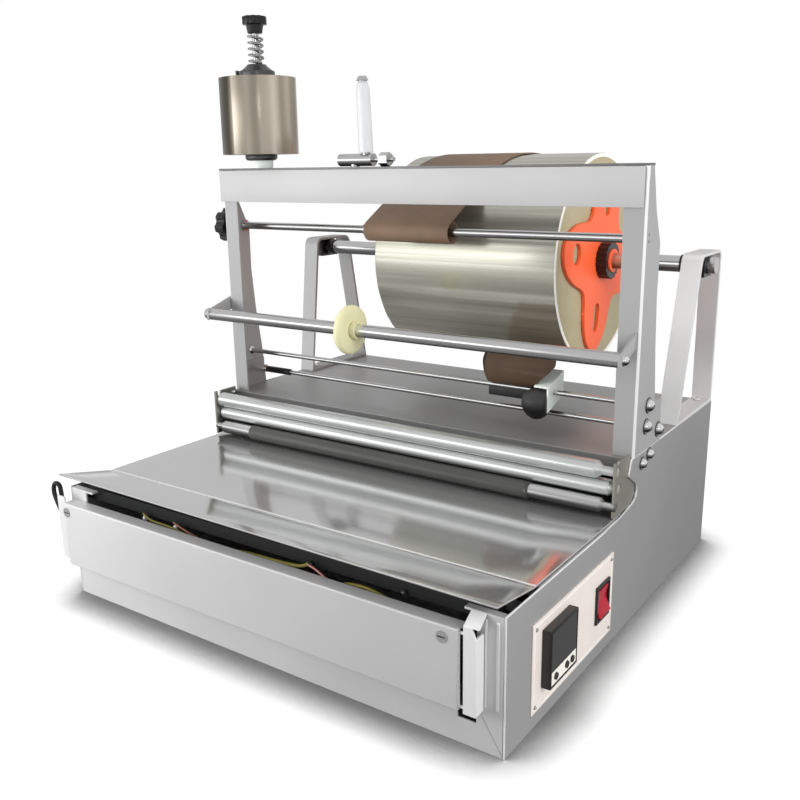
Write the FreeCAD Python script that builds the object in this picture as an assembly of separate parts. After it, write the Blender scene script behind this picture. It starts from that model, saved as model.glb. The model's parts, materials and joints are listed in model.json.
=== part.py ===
import FreeCAD, Part
import math
import os

V = FreeCAD.Vector

# Base box
BASE_W = 480.0
BASE_D = 460.0
BACK = BASE_D / 2
SHEET = 2.0
FRONT_H = 112.0
DECK_H = 160.0
DECK_FRONT = -4.0
DECK_LIP = 10.0
PLINTH_H = 30.0
COLUMN_W = 24.0
NOTCH_W = 15.5
NOTCH_DROP = 9.0
RIDGE = 0.8

# Small hexagon nuts
NUT_CORNER = 5.0
NUT_THICK = 6.0

# Clearances
RUN_FIT = 0.1
MOVE_GAP = 0.4
SEAT_GAP = 0.3

# Work table
TABLE_T = 1.5
TABLE_TOP = FRONT_H + 3.0
LIP_RUN = 53.0
LIP_RISE = 9.0
LIP_OUT = 10.0
LIP_LIFT_L = 4.5
LIP_FAR_L = 2.5
TABLE_BACK = -14.0
RAIL_W = 12.0

# Front cover
FASCIA_H = 64.0
FASCIA_Z = 36.0
FASCIA_PROUD = 14.0
FASCIA_L = 6.0
FASCIA_R = 31.0
STRIP_W = 10.5
STRIP_GAP = 3.0
TAB_W = 11.0
TAB_TOP = 5.0
STRIP_TOP = 3.0

# Portal
POST_FLANGE = 20.0
BEAM_TOP = 408.0
BEAM_H = 35.0
BEAM_DEPTH = 24.0
BEAM_OVER_L = 2.0
BEAM_SHORT_R = 3.0

# Rods between the posts
KNOB_ROD_R = 4.0
KNOB_ROD_Y = 28.0
KNOB_ROD_Z = 345.6
ROD_R = 2.5
ROD1_Y = 29.0
ROD1_Z = DECK_H + 41.0
ROD2_Y = 42.0
ROD2_Z = DECK_H + 17.0
TUBE_R = 6.5
TUBE_Y = -27.0
TUBE_Z = 251.5

# Film roll on its shaft
SHAFT_R = 8.0
SHAFT_Y = 168.0
SHAFT_Z = 310.5
SHAFT_TIP_L = 262.0
SHAFT_TIP_R = 252.0
ROLL_L = -79.0
ROLL_R_END = 131.0
ROLL_RAD = 107.5
CORE_RAD = 39.0
CORE_T = 4.0
FLANGE_T = 4.0
FLANGE_MEAN = 74.0
FLANGE_WAVE = 21.0
FLANGE_TURN = 10.0
SLOT_L = 30.0
SLOT_W = 13.0
HOLE_L = 21.0
HOLE_W = 19.0
SLOT_IN = 14.0
HOLE_IN = 9.0
PLUG_L = 14.0
NECK_R = 12.0
NECK_OVER = 2.0
NUT_R = 19.0
NUT_L = 11.0

# Rear brackets
BRACKET_W = 20.0
BRACKET_T = 3.0
BRACKET_LEAN = 6.0
BRACKET_TOP = 323.0
FOOT_FRONT = BACK - 114.0
FOOT_BACK = BACK - 2.0
TOP_FRONT = BACK - 88.0
TOP_BACK = BACK - 25.0
BRACKET_BEND = 9.0

# Feed rollers
ROLLER_R = 7.8
ROLLER_Y = -30.0
ROLLER_Z = TABLE_TOP + 40.4
NIP_R = 7.4
NIP_DROP = 15.6
LOWER_R = 8.0
LOWER_Y = -33.0
LOWER_Z = TABLE_TOP + 1.6 + LOWER_R
JOURNAL_R = 4.0
END_PLATE_T = 2.5

# Strap
STRAP_T = 1.2
STRAP_L = -61.0
STRAP_W = 100.0
STRAP_LOOP_R = 8.0
STRAP_SHIFT = 110.0
STRAP_TAPER = 0.175

# Tape spindle
SPINDLE_X = -189.0
SPINDLE_Y = 10.0
SPINDLE_R = 3.5
REEL_R = 40.0
REEL_H = 77.0
REEL_CORE_R = 19.0
CONE_H = 8.0
COLLAR_H = 6.0
CUP_H = 13.0
CUP_R = 18.5
SPRING_H = 30.0
SPRING_R = 7.2
SPRING_WIRE = 1.1
KNOB_H = 16.5
KNOB_STEM = 8.5

# Guide pin
PIN_X = -47.0
PIN_Y = 7.0
PIN_R = 4.0
SLEEVE_R = 7.5
SLEEVE_H = 66.0
CLAMP_R = 6.0
CLAMP_RISE = 6.6
SLEEVE_AT = CLAMP_R + 0.5
CLAMP_NUT = 6.8
CLAMP_NUT_T = 10.0
PIN_LEAN = 2.0

# Controls
PLATE_T = 1.2
PLATE_Y0 = -192.0
PLATE_Y1 = -40.0
PLATE_Z0 = 14.0
PLATE_Z1 = 88.0
CTRL_SIZE = 48.0
CTRL_Y = -177.5
CTRL_Z = 30.5
CTRL_PROUD = 8.0
CTRL_DEPTH = 70.0
CTRL_STEP = 1.5
BUTTON_R = 2.8
BUTTON_TRAVEL = 1.0
ROCKER_W = 28.0
ROCKER_H = 34.0
ROCKER_Y = -63.5
ROCKER_Z = 52.5
ROCKER_RIM = 2.5
ROCKER_TILT = 7.0
PIVOT_R = 1.2

HW = BASE_W / 2
FRONT = -BACK
IN_X = HW - SHEET
NODES = {}


def box(x0, x1, y0, y1, z0, z1):
    return Part.makeBox(x1 - x0, y1 - y0, z1 - z0, V(x0, y0, z0))


def rod_x(x0, x1, y, z, r):
    return Part.makeCylinder(r, x1 - x0, V(x0, y, z), V(1, 0, 0))


def rod_y(x, y0, y1, z, r):
    return Part.makeCylinder(r, y1 - y0, V(x, y0, z), V(0, 1, 0))


def rod_z(x, y, z0, z1, r):
    return Part.makeCylinder(r, z1 - z0, V(x, y, z0), V(0, 0, 1))


def cone_z(x, y, z0, z1, r0, r1):
    return Part.makeCone(r0, r1, z1 - z0, V(x, y, z0), V(0, 0, 1))


def cone_x(x0, x1, y, z, r0, r1):
    return Part.makeCone(r0, r1, x1 - x0, V(x0, y, z), V(1, 0, 0))


def plate_x(points, x0, x1):
    wire = Part.makePolygon([V(x0, y, z) for y, z in points + points[:1]])
    return Part.Face(wire).extrude(V(x1 - x0, 0, 0))


def bent(points, t):
    """The closed outline of a bent sheet of thickness t under a line of (y, z) points."""
    pairs = []
    for i, p in enumerate(points):
        a = points[max(i - 1, 0)]
        b = points[min(i + 1, len(points) - 1)]
        n = V(0, b[1] - a[1], a[0] - b[0]).normalize()
        pairs.append((p, (p[0] + n.y * t, p[1] + n.z * t)))
    return [p for p, q in pairs] + [q for p, q in reversed(pairs)]


def skew(points0, x0, points1, x1):
    """A solid along X between two outlines of (y, z) points."""
    wires = []
    for points, x in ((points0, x0), (points1, x1)):
        wires.append(Part.makePolygon([V(x, y, z) for y, z in points + points[:1]]))
    return Part.makeLoft(wires, True, True)


def join(shapes):
    out = shapes[0]
    for s in shapes[1:]:
        out = out.fuse(s)
    return out.removeSplitter()


def cut(shape, tools):
    for t in tools:
        shape = shape.cut(t)
    return shape


def group(shapes):
    return Part.makeCompound(shapes)


def mirror(shape):
    return shape.mirror(V(0, 0, 0), V(1, 0, 0))


def dome_x(x, y, z, r, h, sign):
    """A domed screw head standing on the plane x, facing sign."""
    axis = V(sign, 0, 0)
    base = Part.makeCylinder(r, h * 0.35, V(x, y, z), axis)
    top = Part.makeCone(r, r * 0.55, h * 0.65, V(x + sign * h * 0.35, y, z), axis)
    tip = x + sign * h
    slot = box(tip - 0.6, tip + 0.6, y - r * 0.6, y + r * 0.6, z - 0.5, z + 0.5)
    return join([base, top]).cut(slot)


def hex_nut(x, y, z, turn, corner, thick):
    """A nut on a rod along X, its near face at x."""
    pts = []
    for a in range(turn, turn + 361, 60):
        r = math.radians(a)
        pts.append(V(x, y + corner * math.cos(r), z + corner * math.sin(r)))
    return Part.Face(Part.makePolygon(pts)).extrude(V(thick, 0, 0))


def dome_y(x, y, z, r, h):
    """A domed screw head standing on the plane y, facing the front."""
    base = Part.makeCylinder(r, h * 0.5, V(x, y, z), V(0, -1, 0))
    top = Part.makeCone(r, r * 0.6, h * 0.5, V(x, y - h * 0.5, z), V(0, -1, 0))
    slot = box(x - r * 0.6, x + r * 0.6, y - h - 0.5, y - h + 0.5, z - 0.5, z + 0.5)
    return join([base, top]).cut(slot)


# Side panels: flat to the table's back edge, then a hollow round the feed rollers.
HOLLOW = [(-60.0, FRONT_H), (-26.0, FRONT_H + 1.5), (0.0, FRONT_H + 5.0), (11.0, FRONT_H + 9.5),
          (13.0, FRONT_H + 15.0), (6.0, FRONT_H + 24.0), (-9.0, FRONT_H + 34.0)]


def side_panel(x0):
    curve = Part.BSplineCurve()
    curve.interpolate([V(x0, y, z) for y, z in HOLLOW])
    start = V(x0, *HOLLOW[0])
    end = V(x0, *HOLLOW[-1])
    line = [end, V(x0, DECK_FRONT, DECK_H), V(x0, BACK, DECK_H), V(x0, BACK, 0)]
    line += [V(x0, FRONT, 0), V(x0, FRONT, FRONT_H), start]
    wire = Part.Wire([curve.toShape()] + Part.makePolygon(line).Edges)
    return Part.Face(wire).extrude(V(SHEET, 0, 0))


CTRL_BODY = CTRL_SIZE - 2 * CTRL_STEP
ctrl_mid_y = CTRL_Y + CTRL_SIZE / 2
ctrl_mid_z = CTRL_Z + CTRL_SIZE / 2
ctrl_hole = box(IN_X - 1, HW + PLATE_T + 1, ctrl_mid_y - CTRL_BODY / 2, ctrl_mid_y + CTRL_BODY / 2,
                ctrl_mid_z - CTRL_BODY / 2, ctrl_mid_z + CTRL_BODY / 2)
ROCKER_BODY_W = ROCKER_W - 2 * ROCKER_RIM
ROCKER_BODY_H = ROCKER_H - 2 * ROCKER_RIM
rocker_hole = box(IN_X - 1, HW + PLATE_T + 1, ROCKER_Y - ROCKER_W / 2 + 1, ROCKER_Y + ROCKER_W / 2 - 1,
                  ROCKER_Z - ROCKER_H / 2 + 1, ROCKER_Z + ROCKER_H / 2 - 1)
NODES["side_panels"] = group([side_panel(-HW), cut(side_panel(IN_X), [ctrl_hole, rocker_hole])])

bottom = box(-IN_X, IN_X, FRONT + SHEET, BACK - SHEET, 0, SHEET)

# Back panel with a power inlet and vent slots
INLET_W = 28.0
INLET_H = 20.0
INLET_X = -150.0
INLET_Z = 45.0
VENT_W = 60.0
VENT_H = 5.0
VENTS = 5
back = box(-IN_X, IN_X, BACK - SHEET, BACK, 0, DECK_H - SHEET)
back_cuts = [box(INLET_X - INLET_W / 2, INLET_X + INLET_W / 2, BACK - SHEET - 1, BACK + 1,
                 INLET_Z - INLET_H / 2, INLET_Z + INLET_H / 2)]
for i in range(VENTS):
    z = DECK_H / 2 + i * 2 * VENT_H
    for x in (-VENT_W * 1.5, VENT_W * 0.5):
        back_cuts.append(box(x, x + VENT_W, BACK - SHEET - 1, BACK + 1, z, z + VENT_H))
NODES["base_plates"] = group([bottom, cut(back, back_cuts)])
inlet_rim = 3.0
inlet = box(INLET_X - INLET_W / 2 - inlet_rim, INLET_X + INLET_W / 2 + inlet_rim, BACK, BACK + 3,
            INLET_Z - INLET_H / 2 - inlet_rim, INLET_Z + INLET_H / 2 + inlet_rim)
inlet_body = box(INLET_X - INLET_W / 2, INLET_X + INLET_W / 2, BACK - 22, BACK + 1,
                 INLET_Z - INLET_H / 2, INLET_Z + INLET_H / 2)
inlet_well = box(INLET_X - INLET_W / 2 + 2, INLET_X + INLET_W / 2 - 2, BACK - 16, BACK + 4,
                 INLET_Z - INLET_H / 2 + 2, INLET_Z + INLET_H / 2 - 2)
NODES["power_inlet"] = join([inlet, inlet_body]).cut(inlet_well)

# Front frame: a low band and two columns, mitred at the corners
band = box(-IN_X, IN_X, FRONT, FRONT + SHEET, 0, PLINTH_H)
col_in = IN_X - COLUMN_W + SHEET
notch = box(col_in - NOTCH_W, col_in, FRONT - 1, FRONT + SHEET + 1, PLINTH_H - NOTCH_DROP, PLINTH_H + 1)


def mitre(sign):
    pts = [V(sign * HW, FRONT - 1, 0), V(sign * col_in, FRONT - 1, PLINTH_H - NOTCH_DROP)]
    pts += [V(sign * col_in, FRONT - 1, FRONT_H + 1), V(sign * HW, FRONT - 1, FRONT_H + 1)]
    face = Part.Face(Part.makePolygon(pts + pts[:1]))
    return face.extrude(V(0, SHEET + 2, 0))


plinth = cut(band, [notch, mitre(1), mitre(-1)])
RIDGES = ((HW - 17.0, 1.6), (HW - 8.0, 2.6))
column = box(col_in, IN_X, FRONT, FRONT + SHEET, 0, FRONT_H - 1.0)
column = column.common(mitre(1))
shelf = box(col_in - 10.0, IN_X, FRONT, FRONT + 7.0, FRONT_H - 1.0 - SHEET, FRONT_H - 1.0)
ridges = [box(x, x + w, FRONT - RIDGE, FRONT, PLINTH_H + 7.0, FRONT_H - 6.0) for x, w in RIDGES]
column_l = mirror(join([column, shelf]))
NODES["front_frame"] = group([plinth, join([column, shelf] + ridges), column_l])

# Front cover with folded top and bottom edges, on two end brackets
f_x0 = -HW + FASCIA_L
f_x1 = HW - FASCIA_R
f_y = FRONT - FASCIA_PROUD
f_z1 = FASCIA_Z + FASCIA_H
fascia = join([
    box(f_x0, f_x1, f_y, f_y + SHEET, FASCIA_Z, f_z1),
    box(f_x0, f_x1, f_y, FRONT, f_z1 - SHEET, f_z1),
    box(f_x0, f_x1, f_y, FRONT - MOVE_GAP, FASCIA_Z, FASCIA_Z + SHEET)])
NODES["fascia"] = fascia
SCREW_R = 4.5
SCREW_H = 2.2
SCREW_IN_L = 5.0
SCREW_IN_R = 13.0
screw_z = f_z1 - 9.0
panel_heads = [dome_y(f_x0 + SCREW_IN_L, f_y, screw_z, SCREW_R, SCREW_H),
               dome_y(f_x1 - SCREW_IN_R, f_y, screw_z, SCREW_R, SCREW_H)]
strip_x1 = f_x1 + STRIP_GAP + STRIP_W
b_y = f_y + SHEET
tab_z1 = f_z1 + TAB_TOP
strip_z0 = FASCIA_Z - SHEET
strip_z1 = f_z1 + STRIP_TOP
flange_r = box(f_x1 - 20, strip_x1, b_y, b_y + SHEET, FASCIA_Z + SHEET, f_z1 - SHEET)
strip_top = box(f_x1 + STRIP_GAP, strip_x1, b_y, b_y + SHEET, strip_z0, strip_z1)
gap_cut = box(f_x1, f_x1 + STRIP_GAP, b_y - 1, b_y + SHEET + 1, FASCIA_Z + SHEET + 2, f_z1 - SHEET - 2)
web_r = box(strip_x1 - SHEET, strip_x1, b_y, FRONT, strip_z0, strip_z1 - 8)
slope_line = [(FRONT, FRONT_H - 1.0), (FRONT, FRONT_H - 2.2), (b_y + SHEET, strip_z1 - 1.2), (b_y, strip_z1)]
slope = plate_x(slope_line, f_x1 + STRIP_GAP, strip_x1 + 2.0)
chamfer_line = Part.makePolygon([
    V(strip_x1 - 4, b_y - 1, strip_z1 + 1), V(strip_x1 + 1, b_y - 1, strip_z1 + 1),
    V(strip_x1 + 1, b_y - 1, strip_z1 - 12), V(strip_x1 - 4, b_y - 1, strip_z1 + 1)])
chamfer = Part.Face(chamfer_line).extrude(V(0, SHEET + 2, 0))
bracket_r = join([cut(join([flange_r, strip_top, web_r]), [gap_cut, chamfer]), slope])
flange_l = box(f_x0 - TAB_W, f_x0 + 20, b_y, b_y + SHEET, FASCIA_Z + SHEET, f_z1 - SHEET)
tab_l = box(f_x0 - TAB_W, f_x0, b_y, b_y + SHEET, FASCIA_Z + TAB_TOP, tab_z1)
web_l = box(f_x0 - SHEET, f_x0, b_y, FRONT, FASCIA_Z + SHEET, f_z1 - SHEET)
low_l = box(f_x0 - TAB_W - 1, f_x0 - SHEET, b_y - 1, b_y + SHEET + 1, FASCIA_Z, FASCIA_Z + TAB_TOP)
NODES["fascia_brackets"] = group([bracket_r, cut(join([flange_l, tab_l, web_l]), [low_l])])

# A small black loop held behind the left end tab
LOOP_R = 2.2
loop_x = f_x0 - TAB_W + 1
loop_z1 = tab_z1 - 9.0
loop_y = SHEET + LOOP_R + SEAT_GAP
loop_line = [(0, 0, -12), (-6, 0.6, -4), (-12, 1, 8), (-11, 2, 17),
             (-5, 3, 16), (-3, 3, 4), (0, 2.4, -14), (6, 2, -22)]
loop_curve = Part.BSplineCurve()
loop_curve.interpolate([V(loop_x + x, b_y + loop_y + y, loop_z1 + z) for x, y, z in loop_line])


def sweep(curve, r):
    first = curve.value(curve.FirstParameter)
    along = curve.tangent(curve.FirstParameter)[0]
    ring = Part.Wire(Part.Circle(first, along, r).toShape())
    return Part.Wire(curve.toShape()).makePipeShell([ring], True, True)


NODES["side_loop"] = sweep(loop_curve, LOOP_R)

# Deck, work table and what carries them
SPLICE_Y0 = 13.0
SPLICE_Y1 = 66.0
SPLICE_Z0 = DECK_H - 20.0
SPLICE_Z1 = DECK_H + 30.0
deck = join([box(-IN_X, IN_X, DECK_FRONT, BACK, DECK_H - SHEET, DECK_H),
             box(-IN_X, IN_X, DECK_FRONT, DECK_FRONT + SHEET, DECK_H - DECK_LIP, DECK_H)])
deck_notches = []
for sign in (1, -1):
    x = sorted((sign * (IN_X - SHEET), sign * (IN_X + 1)))
    deck_notches.append(box(x[0], x[1], SPLICE_Y0, SPLICE_Y1, DECK_H - SHEET - 1, DECK_H + 1))
NODES["deck_plate"] = cut(deck, deck_notches)

lip_y0 = FRONT - LIP_OUT
bend_y = lip_y0 + LIP_RUN
table_line = [(TABLE_BACK, TABLE_TOP - 0.5), (bend_y + 6, TABLE_TOP), (bend_y, TABLE_TOP + 0.6),
              (lip_y0 + LIP_RUN / 2, TABLE_TOP + LIP_RISE * 0.55), (lip_y0, TABLE_TOP + LIP_RISE)]
TABLE_SIDE = 0.5
table_half = IN_X - TABLE_SIDE
lip_l = [(lip_y0 + LIP_RUN / 2, TABLE_TOP + LIP_RISE * 0.55 + LIP_LIFT_L * 0.3),
         (lip_y0 - LIP_FAR_L, TABLE_TOP + LIP_RISE + LIP_LIFT_L)]
line_l = table_line[:3] + lip_l
NODES["work_table"] = skew(bent(line_l[::-1], TABLE_T), -table_half, bent(table_line[::-1], TABLE_T), table_half)
under = TABLE_TOP - 0.5 - TABLE_T
rails = []
for sign in (1, -1):
    x = sorted((sign * IN_X, sign * (IN_X - RAIL_W)))
    rails.append(box(x[0], x[1], bend_y + 10, TABLE_BACK - 10, under - SHEET, under))
    w = sorted((sign * IN_X, sign * (IN_X - SHEET)))
    rails.append(box(w[0], w[1], bend_y + 10, TABLE_BACK - 10, under - 14, under - SHEET))
inner_brackets = [join(rails[0:2]), join(rails[2:4])]

HEATER_D = 150.0
HEATER_T = 12.0
HEATER_IN = 14.0
h_y0 = FRONT + 8.0
h_z1 = under
heater = join([
    box(-IN_X + HEATER_IN, IN_X - HEATER_IN, bend_y + 6, h_y0 + HEATER_D, h_z1 - HEATER_T, h_z1),
    box(-IN_X + HEATER_IN, IN_X - HEATER_IN, h_y0, bend_y + 6, h_z1 - HEATER_T, h_z1 - 1.0)])
NODES["heater_plate"] = heater
TERMINAL_XS = (-138.0, -97.0, 60.0, 150.0)
TERMINAL_R = 4.0
TERMINAL_PROUD = 5.0
for x in TERMINAL_XS:
    panel_heads.append(dome_y(x, h_y0, h_z1 - HEATER_T / 2, TERMINAL_R, TERMINAL_PROUD))
for sign in (1, -1):
    for y in (h_y0 + 20, h_y0 + HEATER_D - 30):
        x0 = IN_X - HEATER_IN
        xs = sorted((sign * x0, sign * IN_X))
        inner_brackets.append(box(xs[0], xs[1], y, y + 12, h_z1 - HEATER_T, h_z1 - HEATER_T + SHEET + 1))

wires = []
LEAD_R = 1.3
LEAD_RUNS = (118.0, 137.0, 108.0)
lead_y = h_y0 - TERMINAL_PROUD - LEAD_R - SEAT_GAP
for k, (x0, lead_run) in enumerate(zip(TERMINAL_XS, LEAD_RUNS)):
    x1 = x0 + lead_run
    zc = h_z1 - HEATER_T - 3.0 - k
    pts = [V(x0, lead_y, h_z1 - HEATER_T / 2 - 3.0), V(x0 + 14, lead_y, zc),
           V((x0 + x1) / 2, lead_y, zc - 4), V(x1 - 20, lead_y + 2, zc - 8), V(x1, h_y0 + 14, zc - 24)]
    c = Part.BSplineCurve()
    c.interpolate(pts)
    wires.append(sweep(c, LEAD_R))
NODES["heater_leads"] = group(wires)
BLOCK_Y = FRONT + 60.0
SUPPLY_X = -20.0
SUPPLY_W = 60.0
SUPPLY_D = 45.0
SUPPLY_H = 32.0
TERMINAL_X = 100.0
TERMINAL_W = 65.0
TERMINAL_D = 22.0
TERMINAL_H = 18.0
NODES["inner_blocks"] = group([
    box(SUPPLY_X, SUPPLY_X + SUPPLY_W, BLOCK_Y, BLOCK_Y + SUPPLY_D, SHEET, SHEET + SUPPLY_H),
    box(TERMINAL_X, TERMINAL_X + TERMINAL_W, BLOCK_Y, BLOCK_Y + TERMINAL_D, SHEET, SHEET + TERMINAL_H)])

# Posts: a front flange and a side plate that narrows upward
GUSSET_H = 43.0
post_side = [(0, DECK_H), (0, BEAM_TOP - SHEET), (12.0, BEAM_TOP - SHEET), (22.5, BEAM_TOP - 38.0),
             (36.0, BEAM_TOP - 66.0),
             (35.5, DECK_H + 135.0), (39.5, DECK_H + 89.0), (46.0, DECK_H + 45.0), (50.0, DECK_H)]
gusset = [(30.0, DECK_H), (30.0, DECK_H + GUSSET_H), (64.0, DECK_H + GUSSET_H - 3.5), (66.0, DECK_H)]


def post(parts, holes):
    flange = box(HW - POST_FLANGE, HW, 0, SHEET, DECK_H, BEAM_TOP - SHEET)
    side = [plate_x(p, IN_X, HW) for p in parts]
    for y, z in ((ROD1_Y, ROD1_Z), (ROD2_Y, ROD2_Z)):
        holes.append(rod_x(IN_X - 1, HW + 1, y, z, ROD_R))
    return cut(join([flange] + side), holes)


knob_hole = rod_x(IN_X - 1, HW + 1, KNOB_ROD_Y, KNOB_ROD_Z, KNOB_ROD_R + RUN_FIT)
small_holes = [rod_x(IN_X - 1, HW + 1, 8.0, KNOB_ROD_Z + up, 1.3) for up in (-0.5, 5.5)]
NODES["posts"] = group([post([post_side, gusset], small_holes), mirror(post([post_side], [knob_hole]))])
BUSH_L = 8.0
rod_bush = rod_x(IN_X - BUSH_L, IN_X, KNOB_ROD_Y, KNOB_ROD_Z, KNOB_ROD_R + 3.5)
rod_bush = rod_bush.cut(rod_x(IN_X - BUSH_L - 1, IN_X - 1.0, KNOB_ROD_Y, KNOB_ROD_Z, KNOB_ROD_R + RUN_FIT))
splice = box(IN_X - SHEET, IN_X, SPLICE_Y0, SPLICE_Y1, SPLICE_Z0, SPLICE_Z1)
splice_l = mirror(box(IN_X - SHEET, IN_X, SPLICE_Y0, 46.0, SPLICE_Z0, SPLICE_Z1))
splice_rods = [rod_x(-HW, HW, ROD2_Y, ROD2_Z, ROD_R)]
inner_brackets += [cut(splice, splice_rods), cut(splice_l, splice_rods), rod_bush]
NODES["inner_brackets"] = group(inner_brackets)

beam_x0 = -HW - BEAM_OVER_L
beam_x1 = HW - BEAM_SHORT_R
beam = join([box(beam_x0, beam_x1, -SHEET, 0, BEAM_TOP - BEAM_H, BEAM_TOP),
             box(beam_x0, beam_x1, -SHEET, BEAM_DEPTH - SHEET, BEAM_TOP - SHEET, BEAM_TOP)])
PIN_FOOT_R = 3.0
NODES["top_beam"] = cut(beam, [rod_z(SPINDLE_X, SPINDLE_Y, BEAM_TOP - 5, BEAM_TOP + 1, SPINDLE_R),
                               rod_z(PIN_X - 14, PIN_Y, BEAM_TOP - 5, BEAM_TOP + 1, PIN_FOOT_R)])

heads = []
BIG_HEAD = 6.2
SMALL_HEAD = 5.2
HEAD_H = 3.4
POST_SCREWS = [(25.5, 22.6, BIG_HEAD), (58.0, 12.0, BIG_HEAD),
               (38.0, -6.3, SMALL_HEAD), (21.0, -10.5, SMALL_HEAD)]
for y, up, r in POST_SCREWS:
    heads.append(dome_x(HW, y, DECK_H + up, r, HEAD_H, 1))
for y, up, r in POST_SCREWS:
    if y < SPLICE_Y1 - 16:
        heads.append(dome_x(-HW, y, DECK_H + up, r, HEAD_H, -1))
heads += [dome_x(s * HW, ROD1_Y, ROD1_Z, BIG_HEAD, 3.8, s) for s in (1, -1)]
NODES["tie_rods"] = group([rod_x(-HW, HW, ROD1_Y, ROD1_Z, ROD_R), rod_x(-HW, HW, ROD2_Y, ROD2_Z, ROD_R)])
sleeve_x0 = -IN_X + SHEET + 9.0
sleeve = rod_x(sleeve_x0, sleeve_x0 + 36.0, ROD2_Y, ROD2_Z, ROD_R + 1.2)
rod_sleeve = sleeve.cut(rod_x(-HW, 0, ROD2_Y, ROD2_Z, ROD_R))
nut = hex_nut(-IN_X + SHEET, ROD2_Y, ROD2_Z, 0, NUT_CORNER, NUT_THICK)
heads.append(nut.cut(rod_x(-HW, 0, ROD2_Y, ROD2_Z, ROD_R)))

# Front guide tube on two arms
TUBE_ARM_T = 3.0
tube_x0 = -HW - TUBE_ARM_T - 6.0
tube_x1 = HW - 3.0
arm_r = [(TUBE_Y - 7, TUBE_Z - 6), (TUBE_Y - 7, TUBE_Z + 4), (0, TUBE_Z + 19), (0, TUBE_Z + 5)]
arm_l = [(TUBE_Y - 7, TUBE_Z - 6), (TUBE_Y - 7, TUBE_Z + 5), (22, TUBE_Z + 22), (22, TUBE_Z + 6)]
tube = rod_x(tube_x0, tube_x1 - TUBE_ARM_T, TUBE_Y, TUBE_Z, TUBE_R)
tube = tube.cut(rod_x(tube_x0 + 8, tube_x1 - TUBE_ARM_T, TUBE_Y, TUBE_Z, TUBE_R - 1.5))
end_edges = [e for e in tube.Edges if abs(e.BoundBox.XMin - tube_x0) < 0.01 and e.BoundBox.XLength < 0.01]
tube = tube.makeFillet(3.0, end_edges[:1])
arm_right = plate_x(arm_r, tube_x1 - TUBE_ARM_T, tube_x1)
arm_left = plate_x(arm_l, -HW - TUBE_ARM_T, -HW)
arm_left = arm_left.cut(rod_x(tube_x0, -HW + 1, TUBE_Y, TUBE_Z, TUBE_R))
NODES["guide_tube"] = group([tube, arm_right, arm_left])
heads.append(dome_x(tube_x1, TUBE_Y, TUBE_Z, 5.0, 3.4, 1))
heads.append(dome_x(-HW - TUBE_ARM_T, 14.0, TUBE_Z + 12, 4.0, 3.0, -1))

# Guide wheel on a bush that slides along the tube
WHEEL_X = -51.0
WHEEL_W = 9.0
WHEEL_R = 25.0
BUSH_R = 8.8
BUSH_WALL = 1.2
BUSH_OVER = 6.0
wheel_bore = TUBE_R + RUN_FIT + BUSH_WALL
bush = join([rod_x(WHEEL_X - 2.0, WHEEL_X + WHEEL_W + BUSH_OVER, TUBE_Y, TUBE_Z, wheel_bore - RUN_FIT),
             rod_x(WHEEL_X + WHEEL_W + SEAT_GAP, WHEEL_X + WHEEL_W + BUSH_OVER, TUBE_Y, TUBE_Z, BUSH_R),
             rod_x(WHEEL_X - 2.0, WHEEL_X - SEAT_GAP, TUBE_Y, TUBE_Z, BUSH_R)])
NODES["wheel_bush"] = bush.cut(rod_x(WHEEL_X - 5, WHEEL_X + 60, TUBE_Y, TUBE_Z, TUBE_R + RUN_FIT))
wheel = rod_x(WHEEL_X, WHEEL_X + WHEEL_W, TUBE_Y, TUBE_Z, WHEEL_R)
wheel = wheel.makeFillet(3.5, [e for e in wheel.Edges if e.BoundBox.XLength < 0.01])
NODES["guide_wheel"] = wheel.cut(rod_x(WHEEL_X - 1, WHEEL_X + WHEEL_W + 1, TUBE_Y, TUBE_Z, wheel_bore))

# Turning rod with the star knob, and its collars
STAR_R = 19.0
STAR_T = 13.0
star_x1 = -HW - 14.0
NODES["knob_rod"] = join([
    rod_x(star_x1 - 8.0, IN_X - 1.5, KNOB_ROD_Y, KNOB_ROD_Z, KNOB_ROD_R),
    rod_x(STRAP_L - 5.0, STRAP_L - MOVE_GAP, KNOB_ROD_Y, KNOB_ROD_Z, KNOB_ROD_R + 2.0),
    rod_x(IN_X - BUSH_L - 4.0, IN_X - BUSH_L - SEAT_GAP, KNOB_ROD_Y, KNOB_ROD_Z, KNOB_ROD_R + 2.0),
    rod_x(-IN_X + SEAT_GAP, -IN_X + 3.0, KNOB_ROD_Y, KNOB_ROD_Z, KNOB_ROD_R + 2.0)])
star = rod_x(star_x1 - STAR_T, star_x1, KNOB_ROD_Y, KNOB_ROD_Z, STAR_R)
for i in range(7):
    a = math.radians(360.0 / 7 * i + 12)
    y = KNOB_ROD_Y + (STAR_R + 3.2) * math.cos(a)
    z = KNOB_ROD_Z + (STAR_R + 3.2) * math.sin(a)
    star = star.cut(rod_x(star_x1 - STAR_T - 1, star_x1 + 1, y, z, 6.0))
hub = rod_x(star_x1 - 1.0, -HW - SEAT_GAP, KNOB_ROD_Y, KNOB_ROD_Z, 8.0)
NODES["star_knob"] = join([star, hub]).cut(rod_x(star_x1 - 8.0, IN_X, KNOB_ROD_Y, KNOB_ROD_Z, KNOB_ROD_R))

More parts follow.
